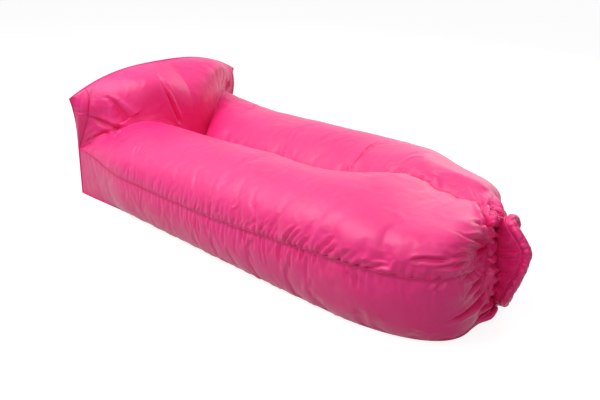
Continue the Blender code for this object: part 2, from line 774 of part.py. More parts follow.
def skirt(parent, collection, nylon):
    """The gathered fabric from the neck to the rolled mouth and, as the mouth's second layer, back inside.

    It is seated between the base and the valley seam.
    """
    angles = ring_angles()
    upright = np.sign(np.sin(angles)) * np.abs(np.sin(angles)) ** ROOT_SQUARENESS
    across = np.sign(np.cos(angles)) * np.abs(np.cos(angles)) ** ROOT_SQUARENESS
    height = mix(NECK_LOW + FABRIC + GAP, NECK_TOP - SEAM_MARGIN, (1 + upright) / 2)
    root = np.stack([0 * angles, ROOT_HALF_WIDTH * across, height], axis=-1)
    path, wide, thick = ring_frames(angles)
    edge = path - wide * (STIFFENER_WIDTH / 2 + ROLL_BACK + 2 * GAP)
    outer, inner = edge + thick * LAYER_SPACING / 2, edge - thick * LAYER_SPACING / 2
    rows = [root - (ROOT_BACK, 0, 0)]
    for share in np.linspace(0, 1, SKIRT_ROWS):
        rows.append(np.stack([
            mix(root[:, 0], outer[:, 0], share),
            mix(root[:, 1], outer[:, 1], share ** SKIRT_SPREAD),
            mix(root[:, 2], outer[:, 2], share ** SKIRT_RISE),
        ], axis=-1))
    fold = np.stack([FOLD_X + 0 * root[:, 0], 0 * root[:, 1],
                     mix(RING_MIDDLE_Z, root[:, 2], FOLD_HEIGHT_SHARE)], axis=-1)
    for share in np.linspace(1, 0, FOLD_ROWS):
        rows.append(mix(fold, inner, share))
    made = sheet("mouth_skirt", np.array(rows), SKIRT_FABRIC, parent, collection, nylon, -1.0, closed=True)
    face = made.data.polygons[0]
    if face.normal.y * face.center.y < 0:
        made.data.flip_normals()


def box(name, size, place, parent, collection, finish=None, edge=0.0):
    """A block of the given size, with its middle at place in the parent's frame."""
    mesh = bmesh.new()
    bmesh.ops.create_cube(mesh, size=1.0)
    bmesh.ops.scale(mesh, vec=size, verts=mesh.verts)
    data = bpy.data.meshes.new(name)
    mesh.to_mesh(data)
    mesh.free()
    made = bpy.data.objects.new(name, data)
    collection.objects.link(made)
    made.parent = parent
    made.location = place
    if finish:
        data.materials.append(finish)
    else:
        made.hide_render = True
        made.display_type = "WIRE"
    if edge:
        bevel = made.modifiers.new("edges", "BEVEL")
        bevel.width = edge
        bevel.segments = EDGE_SEGMENTS
        bevel.limit_method = "ANGLE"
    return made


def cut(made, cutter):
    tool = made.modifiers.new(cutter.name, "BOOLEAN")
    tool.operation = "DIFFERENCE"
    tool.object = cutter


def join(made, other):
    tool = made.modifiers.new(other.name, "BOOLEAN")
    tool.operation = "UNION"
    tool.object = other


def plate(name, outlines, thickness, parent, collection, finish):
    """A flat piece from closed outlines, the second one a hole."""
    curve = bpy.data.curves.new(name, "CURVE")
    curve.dimensions = "2D"
    curve.fill_mode = "BOTH"
    curve.extrude = thickness / 2
    for outline in outlines:
        line = curve.splines.new("POLY")
        line.points.add(len(outline) - 1)
        for place, (u, v) in zip(line.points, outline):
            place.co = (u, v, 0, 1)
        line.use_cyclic_u = True
    made = add_object(name, curve, collection, finish)
    made.parent = parent
    weld = made.modifiers.new("caps", "WELD")
    weld.merge_threshold = MERGE
    return made


def rounded(low, high, half, corner):
    """A closed upright outline from low to high, half as wide on each side, with rounded corners."""
    points = []
    middles = ((half - corner, high - corner), (corner - half, high - corner), (corner - half, low + corner),
               (half - corner, low + corner))
    for quarter, (u, v) in enumerate(middles):
        for step in range(CORNER_STEPS + 1):
            angle = (quarter + step / CORNER_STEPS) * math.pi / 2
            points.append((u + corner * math.cos(angle), v + corner * math.sin(angle)))
    return points


def buckle_end(name, length, bar_z, way, place, parent, collection, cutters, plastic):
    """A moulded block with a slot and a thin bar for its strap: way is the direction of its bar's end."""
    size = (BUCKLE_WIDTH, BUCKLE_THICKNESS, length)
    body = box(name, size, place, parent, collection, plastic, BUCKLE_EDGE)
    x, y, _ = place
    width = WEBBING_WIDTH + 2 * GAP
    slot_z = bar_z - way * (BAR_SIZE + SLOT_LENGTH) / 2
    slot = (width, BUCKLE_THICKNESS + 2 * OVERRUN, SLOT_LENGTH)
    cut(body, box(f"{name}_slot", slot, (x, y, slot_z), parent, cutters))
    depth = (BUCKLE_THICKNESS - BAR_SIZE) / 2 + OVERRUN
    tall = BAR_SIZE + 2 * OVERRUN
    for side in (-1, 1):
        middle = (x, y + side * (BAR_SIZE + depth) / 2, bar_z)
        cut(body, box(f"{name}_recess_{side}", (width, depth, tall), middle, parent, cutters))
    return body


def buckle(parent, collection, cutters, webbing, plastic):
    """The side release buckle that holds the ends of the rolled mouth together."""
    x, y, _ = ring_path(np.array(0.0)) + (BUCKLE_OUT, 0, 0)
    whole = SOCKET_LENGTH + GAP + PLUG_LENGTH
    mouth_z = RING_MIDDLE_Z + whole / 2 - SOCKET_LENGTH
    top_z = mouth_z + SOCKET_LENGTH
    low_z = mouth_z - GAP - PLUG_LENGTH

    socket = buckle_end("buckle_socket", SOCKET_LENGTH, top_z - BAR_SIZE / 2, 1,
                        (x, y, mouth_z + SOCKET_LENGTH / 2), parent, collection, cutters, plastic)
    inside = (BUCKLE_WIDTH - 2 * BUCKLE_WALL, BUCKLE_THICKNESS - 2 * BUCKLE_WALL, POCKET_DEPTH + OVERRUN)
    cut(socket, box("buckle_pocket", inside, (x, y, mouth_z + (POCKET_DEPTH - OVERRUN) / 2), parent, cutters))
    head_low = mouth_z + PRONG_LENGTH - PRONG_HEAD_LENGTH
    window_low = head_low - WINDOW_CLEARANCE
    window_high = mouth_z + PRONG_LENGTH + WINDOW_CLEARANCE
    window = (BUCKLE_WIDTH + 2 * OVERRUN, BUCKLE_THICKNESS - 2 * BUCKLE_WALL, window_high - window_low)
    cut(socket, box("buckle_windows", window, (x, y, (window_low + window_high) / 2), parent, cutters))

    plug = buckle_end("buckle_plug", PLUG_LENGTH, low_z + BAR_SIZE / 2, -1,
                      (x, y, low_z + PLUG_LENGTH / 2), parent, collection, cutters, plastic)
    tongue_length = POCKET_DEPTH * TONGUE_SHARE + GAP + ROOT_BLOCK / 2
    tongue = (TONGUE_WIDTH, BUCKLE_THICKNESS - 2 * BUCKLE_WALL - 2 * GAP, tongue_length)
    tongue_low = mouth_z - GAP - ROOT_BLOCK / 2
    join(plug, box("buckle_tongue", tongue, (x, y, tongue_low + tongue_length / 2), parent, cutters))

    thickness = BUCKLE_THICKNESS - 2 * BUCKLE_WALL - 2 * GAP
    outer = BUCKLE_WIDTH / 2 - BUCKLE_WALL - PRONG_SIDE_GAP
    for side, word in ((NEAR, "inner"), (FAR, "outer")):
        pivot = bpy.data.objects.new(f"prong_{word}_pivot", None)
        collection.objects.link(pivot)
        pivot.parent = parent
        pivot.location = (x + side * (outer - PRONG_WIDTH / 2), y, mouth_z)
        reach = BUCKLE_WIDTH / 2 - (outer - PRONG_WIDTH / 2) - GAP
        shoulder = PRONG_LENGTH - PRONG_HEAD_LENGTH
        half = PRONG_WIDTH / 2
        outline = [(-half, 0), (half, 0), (half, shoulder), (reach, shoulder),
                   (reach, shoulder + PRONG_HEAD_LENGTH / 2), (half, PRONG_LENGTH), (-half, PRONG_LENGTH)]
        if side == NEAR:
            outline = [(-u, v) for u, v in reversed(outline)]
        prong = plate(f"buckle_prong_{word}", [outline], thickness, pivot, collection, plastic)
        prong.rotation_euler = (math.pi / 2, 0, 0)

    seat = BAR_SIZE / 2 + GAP
    strap = WEBBING_THICKNESS
    upper_end = RING_MIDDLE_Z + BUCKLE_GAP_HALF - GAP
    lower_end = RING_MIDDLE_Z - BUCKLE_GAP_HALF + GAP
    spans = (
        ("webbing_upper", top_z - BAR_SIZE - GAP - strap, upper_end),
        ("webbing_lower", lower_end, low_z + BAR_SIZE + GAP + strap),
    )
    for name, low, high in spans:
        around = rounded(low, high, seat + strap, GAP + strap)
        inside = rounded(low + strap, high - strap, seat, GAP)
        band = plate(name, [around, inside], WEBBING_WIDTH, parent, collection, webbing)
        band.location = (x, y, 0)
        band.rotation_euler = (math.pi / 2, 0, math.pi / 2)


def main():
    for old in list(bpy.data.objects):
        bpy.data.objects.remove(old)
    sofa = bpy.data.collections.new("inflatable_sofa")
    cutters = bpy.data.collections.new("cutters")
    for made in (sofa, cutters):
        bpy.context.scene.collection.children.link(made)

    nylon = material("coated_nylon", NYLON_COLOR, NYLON_ROUGHNESS)
    tape = material("seam_tape", TAPE_COLOR, TAPE_ROUGHNESS)
    webbing = material("webbing", WEBBING_COLOR, WEBBING_ROUGHNESS)
    plastic = material("buckle_plastic", PLASTIC_COLOR, PLASTIC_ROUGHNESS)

    lines = seam_lines()
    every = list(lines.values())
    for side, word in ((NEAR, "right"), (FAR, "left")):
        inside = (0, side * SEAM_WIDTH / 4, TUBE_AXIS_HEIGHT)
        panel(f"tube_panel_{word}", tube_rows(side), inside, every, sofa, nylon)
        panel(f"side_panel_{word}", side_rows(side), inside, every, sofa, nylon)
        inside = (CREASE_REACH / 3 - MIDDLE_X, 0, PINCH_HEIGHT)
        panel(f"pillow_gusset_{word}", gusset_rows(side), inside, every, sofa, nylon)
    panel("base_panel", base_rows(), (0, 0, TUBE_AXIS_HEIGHT), every, sofa, nylon, FOLDED_MARGIN)
    panel("pillow_back_panel", pillow_back_rows(), (0, 0, TUBE_AXIS_HEIGHT), every, sofa, nylon)
    panel("pillow_front_panel", pillow_front_rows(), (-MIDDLE_X, 0, PINCH_HEIGHT), every, sofa, nylon)
    centre_web(sofa, nylon)
    seams(lines, sofa, tape)

    closure = bpy.data.objects.new("closure_swing", None)
    sofa.objects.link(closure)
    closure.location = (NECK_X - MIDDLE_X, 0, 0)
    closure.rotation_euler = (0, 0, REST_SWING)
    skirt(closure, sofa, nylon)
    rolled_mouth(closure, sofa, nylon, plastic)
    buckle(closure, sofa, cutters, webbing, plastic)


main()
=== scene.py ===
"""Inflatable sofa: finished fabric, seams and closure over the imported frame.

The frame's axes: the pillow end is towards -X, the closure is at +X, the near side is -Y. Metres, +Z up.
"""
import json
import math

import bpy
import numpy as np
from mathutils import Matrix, Vector, noise
from mathutils.bvhtree import BVHTree


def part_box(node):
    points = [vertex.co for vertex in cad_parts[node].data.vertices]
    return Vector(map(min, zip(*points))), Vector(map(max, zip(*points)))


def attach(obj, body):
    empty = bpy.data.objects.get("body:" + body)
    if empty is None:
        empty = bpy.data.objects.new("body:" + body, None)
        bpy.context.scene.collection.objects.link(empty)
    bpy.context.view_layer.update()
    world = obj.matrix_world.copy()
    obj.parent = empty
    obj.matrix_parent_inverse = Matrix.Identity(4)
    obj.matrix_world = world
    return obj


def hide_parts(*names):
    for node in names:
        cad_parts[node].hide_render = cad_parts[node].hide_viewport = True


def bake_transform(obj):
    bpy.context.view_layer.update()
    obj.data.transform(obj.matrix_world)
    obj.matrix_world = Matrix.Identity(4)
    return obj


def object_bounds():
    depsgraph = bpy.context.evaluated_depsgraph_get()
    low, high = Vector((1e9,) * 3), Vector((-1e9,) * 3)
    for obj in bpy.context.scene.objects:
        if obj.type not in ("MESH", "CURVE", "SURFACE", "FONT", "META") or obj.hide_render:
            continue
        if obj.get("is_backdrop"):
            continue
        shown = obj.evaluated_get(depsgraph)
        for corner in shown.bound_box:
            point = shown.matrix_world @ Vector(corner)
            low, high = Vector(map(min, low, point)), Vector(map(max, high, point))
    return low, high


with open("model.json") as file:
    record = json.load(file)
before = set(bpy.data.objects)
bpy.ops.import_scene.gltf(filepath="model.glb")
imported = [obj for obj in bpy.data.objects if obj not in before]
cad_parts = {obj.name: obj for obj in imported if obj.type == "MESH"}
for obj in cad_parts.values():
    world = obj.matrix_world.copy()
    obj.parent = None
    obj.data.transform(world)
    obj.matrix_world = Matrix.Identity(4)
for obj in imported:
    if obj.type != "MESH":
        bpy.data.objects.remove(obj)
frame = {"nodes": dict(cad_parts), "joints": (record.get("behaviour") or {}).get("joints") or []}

cad_box = [list(corner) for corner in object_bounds()]
random = np.random.default_rng(7)

# Camera: the photograph's view. Pixel places below are in its 600 x 400 frame.
PICTURE_WIDTH = 600
PICTURE_HEIGHT = 400
MILLIMETRE = 0.001
SENSOR = 0.036
LENS = 0.054
CAMERA_AZIMUTH = math.radians(47.5)
CAMERA_ELEVATION = math.radians(20.7)
CAMERA_DISTANCE = 3.43
CAMERA_TARGET = Vector((-0.0149, 0, 0.129))

toward_camera = Vector((
    math.sin(CAMERA_AZIMUTH) * math.cos(CAMERA_ELEVATION),
    -math.cos(CAMERA_AZIMUTH) * math.cos(CAMERA_ELEVATION),
    math.sin(CAMERA_ELEVATION),
))
camera_place = CAMERA_TARGET + toward_camera * CAMERA_DISTANCE
camera_right = Vector((math.cos(CAMERA_AZIMUTH), math.sin(CAMERA_AZIMUTH), 0))
camera_up = toward_camera.cross(camera_right)

camera = bpy.data.objects.new("camera", bpy.data.cameras.new("camera"))
camera.data.lens = LENS / MILLIMETRE
camera.data.sensor_width = SENSOR / MILLIMETRE
camera.matrix_world = Matrix((
    (*[v[0] for v in (camera_right, camera_up, toward_camera)], camera_place[0]),
    (*[v[1] for v in (camera_right, camera_up, toward_camera)], camera_place[1]),
    (*[v[2] for v in (camera_right, camera_up, toward_camera)], camera_place[2]),
    (0, 0, 0, 1),
))
bpy.context.scene.collection.objects.link(camera)
bpy.context.scene.camera = camera


def pixel_direction(x, y):
    focal = LENS / SENSOR * PICTURE_WIDTH
    sideways = camera_right * ((x - PICTURE_WIDTH / 2) / focal)
    upwards = camera_up * ((PICTURE_HEIGHT / 2 - y) / focal)
    return (sideways + upwards - toward_camera).normalized()


# The air bag's sizes: the frame's, apart from the sides' swell and the valley at the foot
NECK_X = 1.84
CORNER_RUN = 0.40
HEAD_RUN = 0.42
VALLEY_RISE_START = 1.05
VALLEY_RISE_END = 1.62
FOOT_START = 1.46
FOOT_BULGE = 0.055
BOX_WIDTH = 0.80
BASE_WIDTH = 0.77
SEAM_WIDTH = 0.88
SIDE_BULGE = 0.012
PINCH_HEIGHT = 0.20
SEAM_HEIGHT = 0.178
SEAM_FOOT_HEIGHT = 0.222
SEAM_RISE_START = 0.85
SIDE_KNEE_HEIGHT = 0.035
TUBE_AXIS_HEIGHT = 0.20
TUBE_LOWER_HEIGHT = 0.17
TUBE_TOP_AT_HEAD = 0.332
TUBE_TOP = 0.358
VALLEY_HEIGHT = 0.185
VALLEY_FOOT_HEIGHT = 0.345
VALLEY_SHARPNESS = 4
VALLEY_FOOT_SHARPNESS = 2.4
NECK_HEIGHT = 0.205
SEAM_ANGLE = math.radians(8)
FOOT_MIDDLE_SHARE = 0.47
FOOT_MIDDLE_HEIGHT_SHARE = 0.93
FOOT_ROUNDNESS = 0.85
CENTRE_BULGE_SHARE = 0.35
CENTRE_WIDTH_SHARE = 0.2
NECK_HALF_WIDTH = 0.021
NECK_BASE_HALF_WIDTH = 0.014
NECK_LOW = 0.041
NECK_SEAM_HEIGHT = 0.26
NECK_TOP = 0.309
NECK_ROUNDNESS = 0.8
NEAR_SKEW = math.tan(math.radians(9))
FAR_SKEW = math.tan(math.radians(33))
SKEW_START = 0.95
FAR_NARROWING_SHARE = 0.035
TAPER_START = 1.05
SHORTENING_START = 1.35
SHORTENING_WIDTH = 0.13
FAR_HOLD_HEIGHT = 0.16
TOP_DRAW_BACK = 0.085
TOP_DROP = 0.06
TOP_DRAW_HEIGHT = 0.44
CREASE_REACH = 0.29
CREASE_VALLEY_HEIGHT = 0.15
CREASE_DIP = 1.5
DOME_SLANT = 0.8
SEAM_PULL = 4
EAR_X = 0.015
EAR_HALF_WIDTH = 0.43
EAR_HEIGHT = 0.423
TOP_RISE = 0.110
TOP_FORWARD = 0.06
FRONT_BULGE = 0.115
FRONT_LIFT = 0.045
BACK_BULGE = 0.05
GUSSET_SHARE = 0.86
GUSSET_FORWARD = 0.05
GUSSET_BULGE = 0.012
NEAR = -1
FAR = 1
TOP_DROP_SHARE = {NEAR: 1.0, FAR: 0.45}
TAPER_SHARE = {NEAR: 0.03, FAR: 0.22}
SHORTENING = {NEAR: 0.03, FAR: 0.05}
CREASE_BEND = {NEAR: 3.2, FAR: 1.6}
CREASE_RISE = {NEAR: 0.17, FAR: 0.20}
CREASE_LEAN = {NEAR: 1.0, FAR: 1.3}
EAR_BEND = {NEAR: 3.0, FAR: 2.3}
FLARE_BEND = 2.2
PILLOW_FULLNESS = 2.6
LEAN_START_SHARE = 0.45
BACK_ROUNDNESS = 0.9
SWELL_HEIGHT = 0.7
SWELL_BEND = 1.35
SIDE_SWELL_BEND = 6
SIDE_SWELL_HEIGHT = 0.55
FRONT_LEAN = 1.3
TINY = 1e-9

swing = next(joint for joint in frame["joints"] if joint["name"] == "closure_swing")
MIDDLE_X = NECK_X - swing["pos_m"][0]

# Points along and across the panels
HEAD_STATIONS = 60
MIDDLE_STATIONS = 210
FOOT_STATIONS = 140
TUBE_COLUMNS = 145
SIDE_COLUMNS = 49
BASE_COLUMNS = 15
GUSSET_COLUMNS = 17
PILLOW_ROWS = 111
BACK_ROWS = 57


def mix(first, last, share):
    return first + (last - first) * share


def ease(start, end, value):
    share = np.clip((np.asarray(value, float) - start) / (end - start), 0, 1)
    return share * share * (3 - 2 * share)


def unit(vectors):
    return vectors / np.maximum(np.linalg.norm(vectors, axis=-1, keepdims=True), TINY)


def run_along(line):
    """The distance along a line of points, from its first to each of them."""
    return np.concatenate([[0], np.cumsum(np.linalg.norm(np.diff(line, axis=0), axis=-1))])


def between(places, run, line):
    """The points at some distances along a line."""
    return np.stack([np.interp(places, run, line[:, k]) for k in range(line.shape[1])], axis=-1)


def quads_of(numbers):
    """The quads of a grid of point numbers."""
    quads = np.stack([numbers[:-1, :-1], numbers[1:, :-1], numbers[1:, 1:], numbers[:-1, 1:]], axis=-1)
    return quads.reshape(-1, 4)


# The air bag's smooth shape

def base_half(x):
    return mix(BOX_WIDTH / 2, BASE_WIDTH / 2, ease(0, CORNER_RUN, x))


def base_section(x, share):
    return base_half(x) * share, 0 * share


def seam_height(x):
    middle = mix(PINCH_HEIGHT, SEAM_HEIGHT, ease(0, CORNER_RUN, x))
    return mix(middle, SEAM_FOOT_HEIGHT, ease(SEAM_RISE_START, VALLEY_RISE_END, x))


def side_section(x, share):
    run = ease(0, CORNER_RUN, x)
    low = base_half(x)
    seam = mix(BOX_WIDTH / 2, SEAM_WIDTH / 2, run)
    height = seam_height(x)
    knee_y = mix(low, seam + SIDE_BULGE, run)
    knee_z = mix(height / 2, SIDE_KNEE_HEIGHT, run)
    left = 1 - share
    y = left ** 2 * low + 2 * share * left * knee_y + share ** 2 * seam
    z = 2 * share * left * knee_z + share ** 2 * height
    return y, z


def tube_section(x, share):
    run = ease(0, CORNER_RUN, x)
    seam = mix(BOX_WIDTH / 2, SEAM_WIDTH / 2, run)
    top = mix(TUBE_TOP_AT_HEAD, TUBE_TOP, ease(CORNER_RUN, VALLEY_RISE_START, x))
    rising = ease(VALLEY_RISE_START, VALLEY_RISE_END, x)
    valley = mix(VALLEY_HEIGHT, VALLEY_FOOT_HEIGHT, rising)
    radius = seam / (1 + math.cos(SEAM_ANGLE))
    angle = mix(-SEAM_ANGLE, math.pi, share)
    lift = np.where(np.sin(angle) > 0, top - TUBE_AXIS_HEIGHT, TUBE_LOWER_HEIGHT)
    y = radius * (1 + np.cos(angle))
    z = TUBE_AXIS_HEIGHT + lift * np.sin(angle)
    at_valley = ease(0, 1, share)
    seam_z = TUBE_AXIS_HEIGHT - TUBE_LOWER_HEIGHT * math.sin(SEAM_ANGLE)
    z = z + (1 - at_valley) ** 2 * (seam_height(x) - seam_z)
    sharpness = mix(VALLEY_SHARPNESS, VALLEY_FOOT_SHARPNESS, rising)
    z = z + at_valley ** sharpness * (valley - TUBE_AXIS_HEIGHT)
    return y, z


def crease(share, side):
    out = 1 - share
    x = CREASE_REACH * (1 - out ** CREASE_BEND[side])
    y = BOX_WIDTH / 2 * out
    z = mix(CREASE_VALLEY_HEIGHT, PINCH_HEIGHT, out ** CREASE_DIP)
    return x, y, z + CREASE_RISE[side] * np.sin(math.pi * out ** CREASE_LEAN[side])


def foot(turn, y, z, neck):
    run = NECK_X - FOOT_START
    centre = ease(0, BOX_WIDTH * CENTRE_WIDTH_SHARE, y)
    bulge = FOOT_BULGE * mix(CENTRE_BULGE_SHARE, 1, centre)
    level = max(math.cos(turn), 0) ** FOOT_ROUNDNESS
    y = y * mix(FOOT_MIDDLE_SHARE, 1, level)
    z = NECK_HEIGHT + mix(FOOT_MIDDLE_HEIGHT_SHARE, 1, level) * (z - NECK_HEIGHT)
    if turn <= math.pi / 2:
        return FOOT_START + (run + bulge) * math.sin(turn), y, z
    left = 1 + math.cos(turn)
    return NECK_X + bulge * math.sin(turn), mix(neck[0], y, left), mix(neck[1], z, left)


def tube_neck(share):
    angle = share * math.pi / 2
    return NECK_HALF_WIDTH * np.cos(angle) ** NECK_ROUNDNESS, mix(NECK_SEAM_HEIGHT, NECK_TOP, np.sin(angle))


def side_neck(share):
    angle = share * math.pi / 2
    y = mix(NECK_BASE_HALF_WIDTH, NECK_HALF_WIDTH, np.sin(angle))
    return y, mix(NECK_SEAM_HEIGHT, NECK_LOW, np.cos(angle))


def base_neck(share):
    return NECK_BASE_HALF_WIDTH * share, NECK_LOW + 0 * share


def placed(x, y, z, side):
    x, y, z = np.broadcast_arrays(np.asarray(x, float), y, z)
    run = ease(SKEW_START, NECK_X, x)
    if side == FAR:
        y = y * (1 - FAR_NARROWING_SHARE * ease(HEAD_RUN, FOOT_START, x))
    at_end = ease(SHORTENING_START, NECK_X, x)
    at_top = ease(NECK_TOP, TOP_DRAW_HEIGHT, z) * at_end
    away = ease(NECK_HALF_WIDTH, SHORTENING_WIDTH, y)
    if side == FAR:
        away = away * ease(NECK_LOW, FAR_HOLD_HEIGHT, z)
    x, y = (x - SHORTENING[side] * at_end * away - TOP_DRAW_BACK * at_top,
            y * (1 - TAPER_SHARE[side] * ease(TAPER_START, NECK_X, x) * away))
    z = z - TOP_DROP * at_top * mix(1, TOP_DROP_SHARE[side], away)
    skew = FAR_SKEW * run if side == FAR else -NEAR_SKEW * run
    return np.stack([x - skew * y - MIDDLE_X, side * y, z], axis=-1)


def rows_behind_head(section, neck_section, shares, side):
    stations = np.linspace(HEAD_RUN, FOOT_START, MIDDLE_STATIONS + 1)
    rows = [placed(x, *section(x, shares), side) for x in stations]
    for turn in np.linspace(0, math.pi, FOOT_STATIONS + 1)[1:]:
        reached = FOOT_START + (NECK_X - FOOT_START) * math.sin(min(turn, math.pi / 2))
        y, z = section(min(reached, VALLEY_RISE_END), shares)
        rows.append(placed(*foot(turn, y, z, neck_section(shares)), side))
    return rows


def head_places():
    turns = np.linspace(0, math.pi / 2, HEAD_STATIONS + 1)[:-1]
    return [(turn, HEAD_RUN * (1 - math.cos(turn)) ** DOME_SLANT) for turn in turns]


def tube_rows(side):
    """From the crease to the neck, each row from the side seam to the valley."""
    shares = np.linspace(0, 1, TUBE_COLUMNS)
    start_x, start_y, start_z = crease(shares, side)
    end_y, end_z = tube_section(HEAD_RUN, shares)
    rows = []
    for turn, head_x in head_places():
        y = mix(start_y, end_y, math.sin(turn))
        z = mix(start_z, end_z, math.sin(turn))
        seam_y, seam_z = side_section(head_x, 1)
        at_seam = (1 - shares) ** SEAM_PULL
        y = y + (seam_y - y[0]) * at_seam
        z = z + (seam_z - z[0]) * at_seam
        rows.append(placed(mix(start_x, HEAD_RUN, head_x / HEAD_RUN), y, z, side))
    return np.array(rows + rows_behind_head(tube_section, tube_neck, shares, side))


def flat_rows(section, neck_section, columns, side):
    """The rows of a side panel or of one half of the base, from the inner or lower edge outwards."""
    shares = np.linspace(0, 1, columns)
    rows = [placed(head_x, *section(head_x, shares), side) for _, head_x in head_places()]
    return np.array(rows + rows_behind_head(section, neck_section, shares, side))


def top_seam(across):
    across = np.asarray(across, float)
    full = 1 - np.abs(across) ** np.where(across < 0, EAR_BEND[NEAR], EAR_BEND[FAR])
    x = EAR_X + TOP_FORWARD * full - MIDDLE_X
    return np.stack([x, EAR_HALF_WIDTH * across, EAR_HEIGHT + TOP_RISE * full], axis=-1)


def pillow_edge(z):
    flare = np.clip((z - PINCH_HEIGHT) / (EAR_HEIGHT - PINCH_HEIGHT), 0, None)
    return BOX_WIDTH / 2 + (EAR_HALF_WIDTH - BOX_WIDTH / 2) * flare ** FLARE_BEND


def pillow_back_rows():
    across = np.linspace(-1, 1, 2 * TUBE_COLUMNS - 1)
    top = top_seam(across)
    full = 1 - np.abs(across) ** PILLOW_FULLNESS
    rows = []
    for share in np.linspace(0, 1, BACK_ROWS):
        bow = BACK_BULGE * full * math.sin(math.pi * share) ** BACK_ROUNDNESS
        x = mix(-MIDDLE_X, top[:, 0], ease(LEAN_START_SHARE, 1, share)) - bow
        rows.append(np.stack([x, pillow_edge(EAR_HEIGHT * share) * across, top[:, 2] * share], axis=-1))
    return np.array(rows)


def pillow_front_rows():
    across = np.linspace(-1, 1, 2 * TUBE_COLUMNS - 1)
    top = top_seam(across * GUSSET_SHARE)
    low = np.where(across[:, None] < 0, np.stack(crease(1 - np.abs(across), NEAR), axis=-1),
                   np.stack(crease(1 - np.abs(across), FAR), axis=-1))
    low = np.stack([low[:, 0] - MIDDLE_X, low[:, 1] * np.sign(across), low[:, 2]], axis=-1)
    full = 1 - np.abs(across) ** PILLOW_FULLNESS
    rows = []
    for share in np.linspace(0, 1, PILLOW_ROWS):
        swell = full * math.sin(math.pi * share ** SWELL_HEIGHT) ** SWELL_BEND
        side_swell = np.abs(across) ** SIDE_SWELL_BEND * math.sin(math.pi * share ** SIDE_SWELL_HEIGHT)
        x = mix(top[:, 0], low[:, 0], share ** FRONT_LEAN) + FRONT_BULGE * swell + GUSSET_FORWARD * side_swell
        z = mix(top[:, 2], low[:, 2], share) + FRONT_LIFT * full * math.sin(math.pi * share)
        rows.append(np.stack([x, mix(top[:, 1], low[:, 1], share), z], axis=-1))
    return np.array(rows)


def gusset_rows(side):
    """From the back panel's edge to the front panel's edge, each row up from the pinch."""
    back = pillow_back_rows()[:, 0 if side == NEAR else -1]
    front = pillow_front_rows()[::-1, 0 if side == NEAR else -1]
    heights = np.linspace(PINCH_HEIGHT, EAR_HEIGHT, PILLOW_ROWS)
    edge = between(heights, back[:, 2], back)
    climb = np.linspace(0, 1, PILLOW_ROWS)[:, None]
    rows = []
    for share in np.linspace(0, 1, GUSSET_COLUMNS):
        line = mix(edge, front, share)
        top = top_seam(side * mix(1, GUSSET_SHARE, share))
        line = line + (top - line[-1]) * climb ** SIDE_SWELL_BEND
        line[:, 1] += side * GUSSET_BULGE * math.sin(math.pi * share) * np.sin(math.pi * climb[:, 0])
        rows.append(line)
    return np.array(rows)


# The fabric as one list of points, with every panel's grid in it

class Panel:
    """A panel's grid within the shared lists of points."""

    def __init__(self, rows, inside):
        self.shape = rows.shape[:2]
        self.rows = rows
        normal = unit(np.cross(np.gradient(rows, axis=0), np.gradient(rows, axis=1)))
        middle = (self.shape[0] // 2, self.shape[1] // 2)
        self.flipped = normal[middle].dot(np.array(inside) - rows[middle]) > 0
        self.normals = -normal if self.flipped else normal
        self.edge = edge_distances(rows)


def edge_distances(rows):
    """Each point's distance along the fabric to the panel's nearest edge."""
    found = []
    for axis in (0, 1):
        steps = np.linalg.norm(np.diff(rows, axis=axis), axis=-1)
        steps = np.concatenate([np.zeros_like(np.take(steps, [0], axis)), steps], axis=axis)
        run = np.cumsum(steps, axis=axis)
        found += [run, np.take(run, [-1], axis) - run]
    return np.min(found, axis=0)


SIDES = {"right": NEAR, "left": FAR}
panels = {}
for word, side in SIDES.items():
    inside = (0, side * SEAM_WIDTH / 4, TUBE_AXIS_HEIGHT)
    panels[f"tube_panel_{word}"] = Panel(tube_rows(side), inside)
    panels[f"side_panel_{word}"] = Panel(flat_rows(side_section, side_neck, SIDE_COLUMNS, side), inside)
    panels[f"pillow_gusset_{word}"] = Panel(gusset_rows(side), (CREASE_REACH / 3 - MIDDLE_X, 0, PINCH_HEIGHT))
panels["pillow_front_panel"] = Panel(pillow_front_rows(), (-MIDDLE_X, 0, PINCH_HEIGHT))
panels["pillow_back_panel"] = Panel(pillow_back_rows(), (0, 0, TUBE_AXIS_HEIGHT))
base_halves = [flat_rows(base_section, base_neck, BASE_COLUMNS, side) for side in (NEAR, FAR)]
panels["base_panel"] = Panel(np.concatenate([base_halves[0][:, ::-1], base_halves[1][:, 1:]], axis=1),
                             (0, 0, TUBE_AXIS_HEIGHT))

starts = {}
total = 0
for name, panel in panels.items():
    starts[name] = total
    total += panel.shape[0] * panel.shape[1]
points = np.concatenate([panel.rows.reshape(-1, 3) for panel in panels.values()])
normals = np.concatenate([panel.normals.reshape(-1, 3) for panel in panels.values()])
seam_distance = np.concatenate([panel.edge.ravel() for panel in panels.values()])
push = np.zeros(total)


def panel_numbers(name):
    rows, columns = panels[name].shape
    return starts[name] + np.arange(rows * columns).reshape(rows, columns)


def grid_faces(name, step=1):
    """The quads on every point of the panel, or on every second one and so on, facing out."""
    quads = quads_of(panel_numbers(name)[::step, ::step])
    return quads[:, ::-1] if panels[name].flipped else quads


every_face = np.concatenate([grid_faces(name) for name in panels])
surface = BVHTree.FromPolygons(points.tolist(), every_face.tolist())


# Folds

SHARPNESS = 1.4
DEPTH_SCALE = 1.25
NARROW_END = 0.55
LIP_SHARE = 0.38
LIP_PLACE = 2.1
FOLD_REACH = 4.5
FACING = 0.25
PIXEL_STEP = 2.0
SEEN_GAP = 0.06
LINE_POINTS = 5


